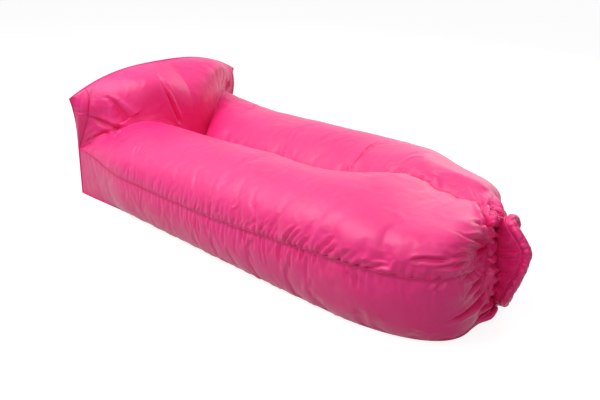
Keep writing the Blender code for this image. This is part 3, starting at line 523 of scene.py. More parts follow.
def press(line, facing, widths, depth, fade):
    """Presses a fold into the fabric along a line of points.

    facing is the fabric's direction there, widths are the fold's half widths at its two ends, and fade
    says over what share of its length it rises at the start and runs out at the end.
    """
    line = np.asarray(line, float)
    reach = FOLD_REACH * max(widths)
    low, high = line.min(0) - reach, line.max(0) + reach
    near = np.nonzero(((points > low) & (points < high)).all(-1) & (normals @ facing > FACING))[0]
    if not len(near):
        return
    begin, step = line[:-1], np.diff(line, axis=0)
    lengths = np.linalg.norm(step, axis=-1)
    run = run_along(line)
    away = points[near][:, None] - begin
    share = np.clip((away * step).sum(-1) / np.maximum(lengths ** 2, TINY), 0, 1)
    distance = np.linalg.norm(away - share[..., None] * step, axis=-1)
    nearest = distance.argmin(-1)
    rows = np.arange(len(near))
    along = (run[nearest] + share[rows, nearest] * lengths[nearest]) / run[-1]
    rising = ease(0, fade[0] + TINY, along) * (1 - ease(1 - fade[1] - TINY, 1, along))
    across = distance[rows, nearest] / (mix(widths[0], widths[1], along) * mix(NARROW_END, 1, rising))
    strength = DEPTH_SCALE * depth * rising
    profile = np.exp(-across ** SHARPNESS) - LIP_SHARE * np.exp(-(across - LIP_PLACE) ** 2)
    push[near] -= strength * profile


def seen(pixels):
    """The fabric's points behind a line of the photograph's pixels, and its mean direction there."""
    found, faced = [], []
    for (x0, y0), (x1, y1) in zip(pixels[:-1], pixels[1:]):
        count = max(int(math.hypot(x1 - x0, y1 - y0) / PIXEL_STEP), 1)
        for k in range(count + 1):
            way = pixel_direction(mix(x0, x1, k / count), mix(y0, y1, k / count))
            place, normal, _, _ = surface.ray_cast(camera_place, way)
            if place is not None and (not found or (place - found[-1]).length < SEEN_GAP):
                found.append(place)
                faced.append(normal)
    return found, (sum(faced, Vector()).normalized() if faced else None)


# Folds that the photograph shows: the line in pixels, half widths in metres at its ends, depth, fades
PILLOW_FOLDS = (
    (((153, 70), (161, 78), (168, 86), (175, 97)), (0.005, 0.005), 0.006, (0.4, 0.5)),
    (((160, 78), (167, 93), (173, 107), (178, 119), (181, 124)), (0.005, 0.007), 0.010, (0.5, 0.1)),
    (((100, 97), (108, 98), (115, 104), (121, 113), (126, 121)), (0.006, 0.022), 0.018, (0.85, 0.02)),
    (((78, 115), (88, 116), (96, 119), (104, 123), (114, 128), (122, 131)),
     (0.006, 0.014), 0.012, (0.6, 0.02)),
    (((78, 146), (90, 139), (104, 133), (118, 130)), (0.006, 0.012), 0.006, (0.5, 0.05)),
    (((82, 140), (94, 131), (108, 126)), (0.006, 0.008), 0.003, (0.4, 0.4)),
    (((230, 80), (222, 92), (212, 103), (204, 112)), (0.012, 0.016), 0.007, (0.4, 0.4)),
    (((86, 88), (82, 96), (80, 106), (80, 116)), (0.004, 0.004), 0.002, (0.3, 0.3)),
    (((95, 100), (100, 108), (106, 116)), (0.010, 0.012), 0.003, (0.3, 0.3)),
    (((70, 108), (78, 112), (86, 113)), (0.004, 0.006), 0.003, (0.1, 0.4)),
)
TUBE_FOLDS = (
    (((240, 112), (247, 109), (251, 108), (258, 104)), (0.004, 0.004), 0.004, (0.3, 0.4)),
    (((352, 171), (353, 166), (357, 161), (362, 156), (367, 149), (372, 145), (378, 142), (385, 141)),
     (0.006, 0.004), 0.007, (0.1, 0.4)),
    (((387, 170), (389, 167), (393, 164), (397, 162)), (0.005, 0.004), 0.006, (0.1, 0.4)),
    (((466, 180), (473, 192), (480, 206), (487, 222), (491, 236)), (0.005, 0.009), 0.010, (0.6, 0.02)),
    (((472, 183), (479, 197), (486, 212), (491, 228)), (0.004, 0.008), 0.007, (0.6, 0.02)),
    (((480, 198), (484, 210), (488, 222), (492, 236)), (0.005, 0.010), 0.010, (0.7, 0.02)),
    (((490, 196), (490, 210), (491, 224), (493, 238)), (0.005, 0.009), 0.006, (0.6, 0.02)),
    (((452, 232), (464, 237), (476, 240), (490, 244)), (0.006, 0.009), 0.013, (0.6, 0.02)),
    (((448, 243), (464, 246), (478, 248), (491, 248)), (0.006, 0.010), 0.012, (0.6, 0.02)),
    (((436, 257), (452, 257), (468, 254), (480, 251), (491, 249)), (0.006, 0.010), 0.012, (0.5, 0.02)),
    (((436, 244), (450, 248), (462, 248)), (0.006, 0.006), 0.003, (0.3, 0.3)),
    (((409, 261), (425, 260), (440, 260.5), (455, 261)), (0.006, 0.006), 0.008, (0.15, 0.3)),
    (((424, 270), (436, 268), (450, 266), (464, 262), (478, 256), (491, 250)),
     (0.006, 0.011), 0.015, (0.5, 0.02)),
    (((446, 274), (460, 269), (474, 263), (491, 254)), (0.006, 0.010), 0.012, (0.5, 0.02)),
    (((191, 199), (194, 182), (197, 170)), (0.006, 0.006), 0.0022, (0.2, 0.5)),
    (((218, 214), (220, 200)), (0.006, 0.006), 0.0035, (0.2, 0.4)),
    (((228, 212), (230, 199)), (0.006, 0.006), 0.0016, (0.2, 0.4)),
    (((232, 208), (238, 196), (240, 190)), (0.006, 0.006), 0.004, (0.2, 0.4)),
    (((250, 207), (254, 193)), (0.007, 0.007), 0.002, (0.2, 0.4)),
    (((133, 153), (139, 144)), (0.006, 0.006), 0.002, (0.3, 0.3)),
    (((137, 155), (142, 145)), (0.006, 0.006), 0.002, (0.3, 0.3)),
    (((132, 166), (134, 157)), (0.006, 0.006), 0.0016, (0.3, 0.3)),
    (((128, 177), (128, 168)), (0.005, 0.005), 0.002, (0.3, 0.3)),
    (((135, 181), (135, 169)), (0.005, 0.005), 0.002, (0.3, 0.3)),
    (((167, 199), (169, 188)), (0.005, 0.005), 0.0016, (0.2, 0.5)),
)
SIDE_FOLDS = (
    (((284, 241), (290, 233), (298, 224)), (0.006, 0.006), 0.006, (0.05, 0.4)),
    (((290, 243), (296, 235), (303, 228)), (0.006, 0.006), 0.004, (0.05, 0.4)),
    (((300, 247), (305, 242), (310, 236)), (0.006, 0.006), 0.004, (0.05, 0.4)),
    (((317, 254), (326, 243), (336, 232)), (0.006, 0.007), 0.007, (0.05, 0.4)),
    (((325, 256), (332, 249), (338, 242)), (0.006, 0.006), 0.003, (0.05, 0.4)),
    (((338, 260), (345, 254), (352, 249)), (0.006, 0.006), 0.006, (0.05, 0.4)),
    (((346, 263), (354, 256), (360, 251)), (0.006, 0.006), 0.003, (0.05, 0.4)),
    (((247, 227), (255, 221), (262, 216)), (0.006, 0.006), 0.0025, (0.05, 0.5)),
    (((260, 231), (266, 224), (271, 218)), (0.006, 0.006), 0.0025, (0.05, 0.5)),
    (((355, 267), (362, 264), (370, 261)), (0.006, 0.006), 0.005, (0.05, 0.4)),
    (((364, 270), (374, 267), (386, 264)), (0.006, 0.006), 0.005, (0.05, 0.4)),
    (((209, 219), (209, 232)), (0.005, 0.005), 0.004, (0.05, 0.4)),
    (((241, 230), (242, 240)), (0.005, 0.005), 0.003, (0.05, 0.4)),
    (((246, 232), (246, 246)), (0.005, 0.005), 0.003, (0.05, 0.5)),
    (((272, 242), (271, 254)), (0.005, 0.005), 0.003, (0.05, 0.4)),
    (((280, 244), (279, 254), (281, 264)), (0.006, 0.006), 0.006, (0.05, 0.4)),
    (((286, 246), (287, 256)), (0.005, 0.005), 0.004, (0.05, 0.4)),
    (((296, 249), (297, 259)), (0.005, 0.005), 0.004, (0.05, 0.4)),
    (((302, 250), (303, 263)), (0.006, 0.006), 0.006, (0.05, 0.4)),
    (((310, 253), (312, 263)), (0.005, 0.005), 0.004, (0.05, 0.4)),
    (((315, 255), (316, 265)), (0.006, 0.006), 0.007, (0.05, 0.4)),
    (((322, 258), (324, 272)), (0.005, 0.005), 0.004, (0.05, 0.4)),
    (((343, 266), (347, 275), (352, 284)), (0.006, 0.007), 0.006, (0.05, 0.4)),
    (((350, 267), (355, 277), (361, 288)), (0.006, 0.007), 0.006, (0.05, 0.4)),
    (((365, 272), (366, 281)), (0.005, 0.005), 0.004, (0.05, 0.4)),
    (((371, 273), (374, 287)), (0.006, 0.006), 0.005, (0.05, 0.4)),
    (((441, 278), (432, 284), (425, 289)), (0.005, 0.005), 0.006, (0.05, 0.4)),
    (((449, 279), (440, 286), (431, 292)), (0.005, 0.005), 0.007, (0.05, 0.4)),
    (((438, 326), (450, 321), (460, 316), (468, 309), (476, 301), (484, 292), (490, 280), (493, 266)),
     (0.006, 0.011), 0.020, (0.35, 0.02)),
    (((456, 305), (466, 294), (476, 281), (484, 270), (491, 258)), (0.007, 0.011), 0.014, (0.5, 0.02)),
    (((468, 303), (478, 288), (486, 274), (492, 260)), (0.006, 0.009), 0.009, (0.5, 0.02)),
    (((480, 314), (487, 298), (491, 282), (493, 266)), (0.006, 0.009), 0.011, (0.5, 0.02)),
    (((454, 285), (467, 277), (480, 267), (491, 255)), (0.006, 0.010), 0.013, (0.4, 0.02)),
    (((470, 331), (480, 327), (488, 320)), (0.005, 0.005), 0.004, (0.3, 0.2)),
)
# Places where the fabric stands out between folds: the pixel, the radius and the height
PUFFS = (
    ((100, 137), 0.045, 0.014),
    ((93, 107), 0.035, 0.008),
    ((140, 105), 0.060, 0.008),
    ((196, 95), 0.070, 0.006),
    ((448, 236), 0.045, 0.006),
    ((470, 258), 0.030, 0.008),
    ((455, 268), 0.030, 0.006),
    ((466, 225), 0.045, 0.010),
    ((482, 262), 0.022, 0.006),
    ((474, 312), 0.040, 0.010),
    ((458, 296), 0.050, 0.008),
    ((484, 200), 0.030, 0.006),
)
for (x, y), radius, rise in PUFFS:
    place, normal, _, _ = surface.ray_cast(camera_place, pixel_direction(x, y))
    if place is not None:
        distance = np.linalg.norm(points - np.array(place), axis=-1)
        push += rise * np.exp(-(distance / radius) ** 2) * (normals @ np.array(normal) > FACING)
for pixels, widths, depth, fade in PILLOW_FOLDS + TUBE_FOLDS + SIDE_FOLDS:
    line, facing = seen(pixels)
    if len(line) > 1:
        press(line, facing, widths, depth, fade)


def pick(low, high):
    return float(random.uniform(low, high))


def panel_line(name, row_column_pairs):
    """A line of points on a panel's grid, through places given as fractions of its rows and columns."""
    rows = panels[name].rows
    found, faced = [], []
    for (r0, c0), (r1, c1) in zip(row_column_pairs[:-1], row_column_pairs[1:]):
        for share in np.linspace(0, 1, LINE_POINTS):
            i = int(round(mix(r0, r1, share) * (rows.shape[0] - 1)))
            j = int(round(mix(c0, c1, share) * (rows.shape[1] - 1)))
            found.append(rows[i, j])
            faced.append(panels[name].normals[i, j])
    return found, np.mean(faced, axis=0)


# Puckers along the side seams: close together and deep towards the foot
ROWS = HEAD_STATIONS + MIDDLE_STATIONS + FOOT_STATIONS
FOOT_ROW = (HEAD_STATIONS + MIDDLE_STATIONS) / ROWS
PUCKER_START = 0.02
PUCKER_END = 0.86
PUCKER_SPACING = 0.009
PUCKER_DEPTH = 0.0040
PUCKER_WIDTHS = (0.004, 0.006)
PUCKER_FADE = (0, 0.7)
PUCKER_GROWTH = (0.15, 0.62)
PUCKER_HEAD_SHARE = 0.25
PUCKER_STRENGTHS = (0.35, 1)
TUBE_PUCKER_LENGTHS = (0.05, 0.16)
SIDE_PUCKER_LENGTHS = (0.12, 0.45)
PUCKER_SLANTS = (-0.004, 0.012)
PUCKER_GAPS = (0.6, 1.7)
GATHER_COUNTS = {"tube_panel_right": 24, "tube_panel_left": 22, "side_panel_right": 13, "side_panel_left": 13,
                 "base_panel": 10}
GATHER_WIDTHS = (0.011, 0.0045)
GATHER_FADE = (0.6, 0.02)
GATHER_PLACES = (0.1, 0.9)
GATHER_STARTS = (0.42, 0.78)
GATHER_OFFSETS = (-0.02, 0.02)
GATHER_DEPTHS = (0.006, 0.015)
for word, side in SIDES.items():
    row = PUCKER_START
    while row < PUCKER_END:
        depth = PUCKER_DEPTH * mix(PUCKER_HEAD_SHARE, 1, ease(*PUCKER_GROWTH, row)) * pick(*PUCKER_STRENGTHS)
        for name, seam_column, way, length in ((f"tube_panel_{word}", 0, 1, pick(*TUBE_PUCKER_LENGTHS)),
                                               (f"side_panel_{word}", 1, -1, pick(*SIDE_PUCKER_LENGTHS))):
            slant = pick(*PUCKER_SLANTS)
            line, facing = panel_line(name, ((row, seam_column), (row + slant, seam_column + way * length)))
            press(line, facing, PUCKER_WIDTHS, depth, PUCKER_FADE)
        row += PUCKER_SPACING * pick(*PUCKER_GAPS)

# Gathers that run from the foot end's roundness into the neck
for name, count in GATHER_COUNTS.items():
    for k in range(count):
        place = (k + pick(*GATHER_PLACES)) / count
        first = mix(FOOT_ROW, 1, pick(*GATHER_STARTS))
        begin = (first, place + pick(*GATHER_OFFSETS))
        line, facing = panel_line(name, (begin, (mix(first, 1, 0.5), place), (1, place)))
        press(line, facing, GATHER_WIDTHS, pick(*GATHER_DEPTHS), GATHER_FADE)

# Soft unevenness everywhere, and a groove beside every seam, while the seams keep their places
SWELL_SIZE = 0.16
CRINKLE_SIZE = 0.045
CRINKLE_SHIFT = Vector((7, 3, 1))
SWELL = 0.004
CRINKLE = 0.0010
SEAM_GROOVE = 0.0022
PILLOW_GROOVE = 0.0004
GROOVE_PLACE = 0.0055
GROOVE_WIDTH = 0.004
SEAM_HOLD = 0.005
SWELL_HOLD = 0.05
BASE_FLAT_HEIGHT = 0.012
BASE_FREE_HEIGHT = 0.05
FABRIC_CLEARANCE = 0.0004
held = ease(0, SWELL_HOLD, seam_distance)
swells = np.array([noise.noise(Vector(p / SWELL_SIZE)) for p in points])
crinkles = np.array([noise.noise(Vector(p / CRINKLE_SIZE) + CRINKLE_SHIFT) for p in points])
push += held * (SWELL * swells + CRINKLE * (1 - 2 * np.abs(crinkles)))
on_pillow = np.concatenate([np.full(panel.edge.size, name.startswith("pillow"))
                            for name, panel in panels.items()])
groove = np.where(on_pillow, PILLOW_GROOVE, SEAM_GROOVE)
push -= groove * np.exp(-((seam_distance - GROOVE_PLACE) / GROOVE_WIDTH) ** 2)
push *= ease(0, SEAM_HOLD, seam_distance)
push[starts["base_panel"]:] *= ease(BASE_FLAT_HEIGHT, BASE_FREE_HEIGHT, points[starts["base_panel"]:, 2])
shaped = points + normals * push[:, None]
shaped[:, 2] = np.maximum(shaped[:, 2], FABRIC_CLEARANCE)

# Where panels meet, their points move as one
WELD = 0.00001
WELD_SHIFT = 0.37
_, shared = np.unique(np.floor(points / WELD + WELD_SHIFT).astype(np.int64), axis=0, return_inverse=True)
shared = shared.ravel()
copies = np.bincount(shared)


def welded(places):
    return np.stack([np.bincount(shared, places[:, k]) / copies for k in range(3)], axis=-1)


bag = welded(shaped)


def without_doubles(faces):
    """The faces on the shared points, with repeated corners and empty faces left out."""
    kept = []
    for face in shared[faces].tolist():
        corners = [c for k, c in enumerate(face) if c != face[k - 1]]
        if len(set(corners)) == len(corners) > 2:
            kept.append(corners)
    return kept


def made(name, places, faces):
    """A smooth mesh object of the given points and faces."""
    mesh = bpy.data.meshes.new(name)
    mesh.from_pydata([tuple(p) for p in np.asarray(places).tolist()], [], [tuple(f) for f in faces])
    mesh.update()
    for polygon in mesh.polygons:
        polygon.use_smooth = True
    piece = bpy.data.objects.new(name, mesh)
    bpy.context.scene.collection.objects.link(piece)
    return piece


def on_own_points(quads):
    """The shared points that a surface uses, and its faces on those points alone."""
    faces = without_doubles(quads)
    used = sorted({c for face in faces for c in face})
    place = {c: k for k, c in enumerate(used)}
    return used, [[place[c] for c in face] for face in faces]


def panel_piece(name, places):
    used, faces = on_own_points(grid_faces(name))
    return made(name + "_fabric", places[used], faces)


# The bag as cloth under pressure, on every second point, with its seams held where they are

CLOTH_STEP = 2
CLOTH_FRAMES = 16
CLOTH_PRESSURE = 6.0
CLOTH_SPARE = 0.022
HELD_DISTANCE = 0.004
SOFTEN_SPAN = 0.055
SIMULATED_LIMIT = 0.012
SLACK_REACH = 0.10
SLACK_MIDDLE = 0.35
SLACK_AT_HEAD = 0.30
SLACK_ON_PILLOW = 0.45
SLACK_HEAD_X = -0.8
SLACK_FOOT_X = 0.45
SOFTEN_REACH = 2.5
CLOTH_SETTINGS = dict(quality=4, mass=0.08, air_damping=3, tension_stiffness=40, compression_stiffness=40,
                      shear_stiffness=15, bending_stiffness=0.02, use_pressure=True,
                      uniform_pressure_force=CLOTH_PRESSURE, vertex_group_mass="pinned",
                      shrink_min=-CLOTH_SPARE)


def simulated(places):
    """Where the cloth's points end up, as moves from where they started."""
    used, faces = on_own_points(np.concatenate([grid_faces(name, CLOTH_STEP) for name in panels]))
    start = places[used]
    piece = made("bag_cloth", start, faces)
    closeness = np.full(len(places), 1.0)
    np.minimum.at(closeness, shared, seam_distance)
    on_base = np.zeros(len(places), bool)
    on_base[shared[starts["base_panel"]:]] = True
    pinned = np.nonzero((closeness[used] < HELD_DISTANCE) | on_base[used])[0]
    piece.vertex_groups.new(name="pinned").add(pinned.tolist(), 1.0, "REPLACE")
    cloth = piece.modifiers.new("cloth", "CLOTH")
    for key, value in CLOTH_SETTINGS.items():
        setattr(cloth.settings, key, value)
    cloth.settings.effector_weights.gravity = 0
    cloth.point_cache.frame_start = 1
    cloth.point_cache.frame_end = CLOTH_FRAMES
    scene = bpy.context.scene
    for frame_number in range(1, CLOTH_FRAMES + 1):
        scene.frame_set(frame_number)
    done = piece.evaluated_get(bpy.context.evaluated_depsgraph_get())
    flat = np.zeros(len(used) * 3)
    done.data.vertices.foreach_get("co", flat)
    moves = np.zeros_like(places)
    moves[used] = flat.reshape(-1, 3) - start
    bpy.data.objects.remove(piece)
    scene.frame_set(1)
    return moves


def softened(grid, cells):
    """The grid with everything smaller than some cells averaged away."""
    reach = int(cells * SOFTEN_REACH)
    weights = np.exp(-(np.arange(-reach, reach + 1) / cells) ** 2 / 2)
    weights /= weights.sum()
    for axis in (0, 1):
        padding = [(0, 0)] * grid.ndim
        padding[axis] = (reach, reach)
        wide_grid = np.pad(grid, padding, mode="edge")
        span = np.arange(grid.shape[axis])
        grid = sum(weight * np.take(wide_grid, span + k, axis) for k, weight in enumerate(weights))
    return grid


def spread_out(grid, shape):
    """A coarse grid of moves, filled in for every point between."""
    for axis in (0, 1):
        at = np.arange(shape[axis]) / CLOTH_STEP
        low = np.minimum(at.astype(int), grid.shape[axis] - 2)
        share = (at - low).reshape((-1, 1, 1) if axis == 0 else (1, -1, 1))
        grid = np.take(grid, low, axis) * (1 - share) + np.take(grid, low + 1, axis) * share
    return grid


moves = simulated(bag)
for name, panel in panels.items():
    grid = moves[shared[panel_numbers(name)[::CLOTH_STEP, ::CLOTH_STEP]]]
    cell = float(np.median(np.linalg.norm(np.diff(panel.rows[::CLOTH_STEP], axis=0), axis=-1)))
    grid = grid - softened(grid, max(SOFTEN_SPAN / cell, 1))
    grid = np.clip(spread_out(grid, panel.shape), -SIMULATED_LIMIT, SIMULATED_LIMIT).reshape(-1, 3)
    numbers = starts[name] + np.arange(len(grid))
    slack = mix(SLACK_MIDDLE, 1, np.exp(-(seam_distance[numbers] / SLACK_REACH) ** 2))
    if name.startswith("pillow"):
        slack = slack * SLACK_ON_PILLOW
    else:
        slack = slack * mix(SLACK_AT_HEAD, 1, ease(SLACK_HEAD_X, SLACK_FOOT_X, points[numbers, 0]))
    shaped[numbers] += grid * (slack * ease(0, 2 * SEAM_HOLD, seam_distance[numbers]))[:, None]
shaped[:, 2] = np.maximum(shaped[:, 2], FABRIC_CLEARANCE)
bag = welded(shaped)

fabric = {name: panel_piece(name, bag) for name in panels}

# The closure's sizes, as in the frame: X away from the neck, Z up, from the hinge
hinge = Vector(swing["pos_m"])
REST_SWING = math.radians(12)
FABRIC = 0.0008
GAP = 0.0003
RING_REACH = 0.045
TIP_REACH = 0.072
TIP_RISE = 0.055
TIP_BEND = 1.5
RING_MIDDLE_Z = 0.1875
RING_HALF_HEIGHT = 0.141
RING_HALF_WIDTH = 0.034
RING_SQUARENESS = 3
STIFFENER_WIDTH = 0.014
ROLL_FABRIC = 0.0012
ROLL_PITCH = 0.0022
ROLL_TURNS = 2.25
ROLL_START = 0.0031
LAYER_SPACING = 0.005
ROOT_HALF_WIDTH = 0.013
ROOT_BACK = 0.004
ROOT_SQUARENESS = 0.7
BUCKLE_GAP_HALF = 0.042
SKIRT_SPREAD = 1.5
SKIRT_RISE = 2
ROLL_OUTSIDE = ROLL_START + ROLL_PITCH * ROLL_TURNS + ROLL_FABRIC / 2
ROLL_BACK = ROLL_OUTSIDE - ROLL_PITCH * 3 / 4
SMALL_TURN = 0.001
FINE_STEPS = 4001
swing_turn = np.array(Matrix.Rotation(REST_SWING, 3, "Z"))


def swung(places):
    """Places in the closure's frame, put in the object's frame."""
    return np.asarray(places) @ swing_turn.T + np.array([hinge.x, hinge.y, 0])


def ring_path(angle):
    straight = RING_HALF_HEIGHT - RING_HALF_WIDTH
    spread = np.tanh(RING_SQUARENESS * np.sin(angle)) / math.tanh(RING_SQUARENESS)
    height = straight * spread + RING_HALF_WIDTH * np.sin(angle)
    span = np.where(height > TIP_RISE, RING_HALF_HEIGHT - TIP_RISE, RING_HALF_HEIGHT + TIP_RISE)
    near = (1 - np.cos(angle)) / 2
    x = RING_REACH + TIP_REACH * near * (1 - np.abs((height - TIP_RISE) / span) ** TIP_BEND)
    y = RING_HALF_WIDTH * np.cos(angle)
    z = RING_MIDDLE_Z + height
    return np.stack([x, y, z], axis=-1)


def ring_frames(angles):
    path = ring_path(angles)
    along = unit(ring_path(angles + SMALL_TURN) - ring_path(angles - SMALL_TURN))
    wide = unit(np.array([1.0, 0, 0]) - along * along[:, :1])
    return path, wide, np.cross(along, wide)


def even_angles(count, whole):
    """Angles at even distances along the mouth, once round from the buckle gap's upper end."""
    fine = np.linspace(0, 2 * math.pi, FINE_STEPS)
    start = fine[np.argmax(ring_path(fine)[:, 2] - RING_MIDDLE_Z > BUCKLE_GAP_HALF)]
    last = 2 * math.pi + start if whole else 2 * math.pi - start
    fine = np.linspace(start, last, FINE_STEPS)
    run = run_along(ring_path(fine))
    return np.interp(np.linspace(0, run[-1], count), run, fine)


def grid_quads(rows, columns, closed=False, ring=False):
    """The quads of a grid that may close round its columns, and round its rows too."""
    numbers = np.arange(rows * columns).reshape(rows, columns)
    if ring:
        numbers = np.concatenate([numbers, numbers[:1]])
    if closed:
        numbers = np.concatenate([numbers, numbers[:, :1]], axis=1)
    return quads_of(numbers).tolist()


def thicken(piece, thickness, offset=0.0):
    solid = piece.modifiers.new("thickness", "SOLIDIFY")
    solid.thickness = thickness
    solid.offset = offset


def round_normals(rows):
    """The unit normals of a grid of points whose second direction runs round."""
    rows = np.concatenate([rows[:, -2:], rows, rows[:, :2]], axis=1)
    return unit(np.cross(np.gradient(rows, axis=0), np.gradient(rows, axis=1)))[:, 2:-2]


# The mouth skirt: gathers that fan out from the neck
SKIRT_STATIONS = 360
SKIRT_ROWS = 34
INNER_ROWS = 22
FOLD_X = 0.006
FOLD_HEIGHT_SHARE = 0.8
GATHERS = ((11, 0.0050, 0.3), (23, 0.0036, 1.7), (41, 0.0020, 4.1))
SKIRT_FULLNESS = 0.007
GATHER_DRIFT = 0.5
GATHER_LEVEL = 0.6
GATHER_ROUNDNESS = 0.7
INNER_GATHER_SHARE = 0.5

angles = even_angles(SKIRT_STATIONS + 1, whole=True)[:-1]
upright = np.sign(np.sin(angles)) * np.abs(np.sin(angles)) ** ROOT_SQUARENESS
sideways = np.sign(np.cos(angles)) * np.abs(np.cos(angles)) ** ROOT_SQUARENESS
height = mix(NECK_LOW + FABRIC + GAP, NECK_TOP - FABRIC * 3, (1 + upright) / 2)
root = np.stack([0 * angles, ROOT_HALF_WIDTH * sideways, height], axis=-1)
path, wide, thick = ring_frames(angles)
rolled_edge = path - wide * (STIFFENER_WIDTH / 2 + ROLL_BACK + 2 * GAP)
outer_edge, inner_edge = rolled_edge + thick * LAYER_SPACING / 2, rolled_edge - thick * LAYER_SPACING / 2
rows = [root - (ROOT_BACK, 0, 0), root - (ROOT_BACK / 2, 0, 0)]
for share in np.linspace(0, 1, SKIRT_ROWS):
    rows.append(np.stack([
        mix(root[:, 0], outer_edge[:, 0], share),
        mix(root[:, 1], outer_edge[:, 1], share ** SKIRT_SPREAD),
        mix(root[:, 2], outer_edge[:, 2], share ** SKIRT_RISE),
    ], axis=-1))
fold_line = np.stack([FOLD_X + 0 * root[:, 0], 0 * root[:, 1],
                      mix(RING_MIDDLE_Z, root[:, 2], FOLD_HEIGHT_SHARE)], axis=-1)
for share in np.linspace(1, 0, INNER_ROWS):
    rows.append(mix(fold_line, inner_edge, share))
rows = np.array(rows)
outward = round_normals(rows)
if (outward[SKIRT_ROWS // 2] * (rows[SKIRT_ROWS // 2] - (0, 0, RING_MIDDLE_Z)))[:, 1:].sum() < 0:
    outward = -outward
around = np.arange(SKIRT_STATIONS) / SKIRT_STATIONS * 2 * math.pi
out_share = np.concatenate([[0, 0], np.linspace(0, 1, SKIRT_ROWS), np.linspace(1, 0, INNER_ROWS)])
lift = np.zeros(rows.shape[:2])
for count, size, phase in GATHERS:
    drift = GATHER_DRIFT * np.sin(2 * math.pi * out_share + phase)
    wave = np.abs(np.sin(count * around[None] / 2 + drift[:, None] + phase))
    lift += size * (GATHER_LEVEL - wave)
lift += SKIRT_FULLNESS
lift *= (np.sin(math.pi * np.clip(out_share, 0, 1)) ** GATHER_ROUNDNESS)[:, None]
lift[SKIRT_ROWS + 2:] *= INNER_GATHER_SHARE
rows = rows + outward * lift[..., None]
skirt_piece = made("mouth_skirt_fabric", swung(rows.reshape(-1, 3)),
                   grid_quads(len(rows), SKIRT_STATIONS, closed=True))

# The rolled mouth: one strip wound round the two stiffeners
ROLL_STATIONS = 420
ROLL_CORNER_POINTS = 5
CRUMPLE_SIZE = 0.024
CRUMPLE_SWELL = 0.0085
PLEAT_SIZE = CRUMPLE_SIZE / 3
PLEAT_SHIFT = Vector((4, 1, 7))
PLEAT_SWELL = 0.0030
SWELL_NEAR_OUTSIDE = 6
half = STIFFENER_WIDTH / 2
section = []
steps = int(ROLL_TURNS * 4) * ROLL_CORNER_POINTS
for step in range(steps + 1):
    turn = step / ROLL_CORNER_POINTS * math.pi / 2
    distance = ROLL_START + ROLL_PITCH * turn / (2 * math.pi)
    if step == 0:
        distance = 2 * GAP + ROLL_FABRIC / 2
    side_x = math.copysign(half, math.cos(turn)) if abs(math.cos(turn)) > TINY else None
    if side_x is None:
        way = math.copysign(1, math.sin(turn))
        section += [(way * half, way * distance), (0, way * distance), (-way * half, way * distance)]
    else:
        section.append((side_x + distance * math.cos(turn), distance * math.sin(turn)))
section = np.array(section)
angles = even_angles(ROLL_STATIONS, whole=False)
path, wide, thick = ring_frames(angles)
roll = path[:, None] + wide[:, None] * section[:, :1] + thick[:, None] * section[:, 1:]
away = np.linalg.norm(section - np.clip(section, (-half, 0), (half, 0)), axis=-1)
outer_share = np.clip((away - ROLL_START) / (away.max() - ROLL_START), 0, 1)


def waviness(size, shift=Vector()):
    return np.abs([[noise.noise(Vector(place) / size + shift) for place in line] for line in roll.tolist()])


section_out = unit(section - np.clip(section, (-half, 0), (half, 0)))
swell = CRUMPLE_SWELL * waviness(CRUMPLE_SIZE) + PLEAT_SWELL * waviness(PLEAT_SIZE, PLEAT_SHIFT)
swell = swell * outer_share ** SWELL_NEAR_OUTSIDE
roll += (wide[:, None] * section_out[:, :1] + thick[:, None] * section_out[:, 1:]) * swell[..., None]
roll_piece = made("rolled_mouth_fabric", swung(roll.reshape(-1, 3)), grid_quads(ROLL_STATIONS, len(section)))


# Seams: a narrow welt along each joining of panels, with a row of stitches

TAPE_HALF_WIDTH = 0.0020
TAPE_HALF_HEIGHT = 0.0016
TAPE_STEP = 0.003
TAPE_SIDES = 10
STITCH_PITCH = 0.0042
STITCH_LENGTH = 0.0028
STITCH_WIDTH = 0.0007
TAPE_CLEARANCE = 0.0003
STITCH_CLEARANCE = 0.0002
BASE_SEAM_MIDDLE = (0.3, 0, 0)


def edge(name, rows, columns):
    """A panel's points along a row or column, and the fabric's direction there."""
    return bag[shared[panel_numbers(name)[rows, columns]]], panels[name].normals[rows, columns]


def joined(*runs):
    return np.concatenate([run[0] for run in runs]), np.concatenate([run[1] for run in runs])


def stitch(places, faces, number, top, along, across, out):
    """Adds one stitch, a small lozenge of thread, and gives the next point's number."""
    spread = along * STITCH_LENGTH / 2
    flat = across * STITCH_WIDTH / 2
    high = out * STITCH_WIDTH / 2
    places.append(np.array([top - spread, top + spread, top + flat, top - flat, top + high, top - high]))
    a, b, c, d, e, f = range(number, number + 6)
    faces += [[a, e, c], [a, c, f], [a, f, d], [a, d, e], [b, c, e], [b, f, c], [b, d, f], [b, e, d]]
    return number + 6


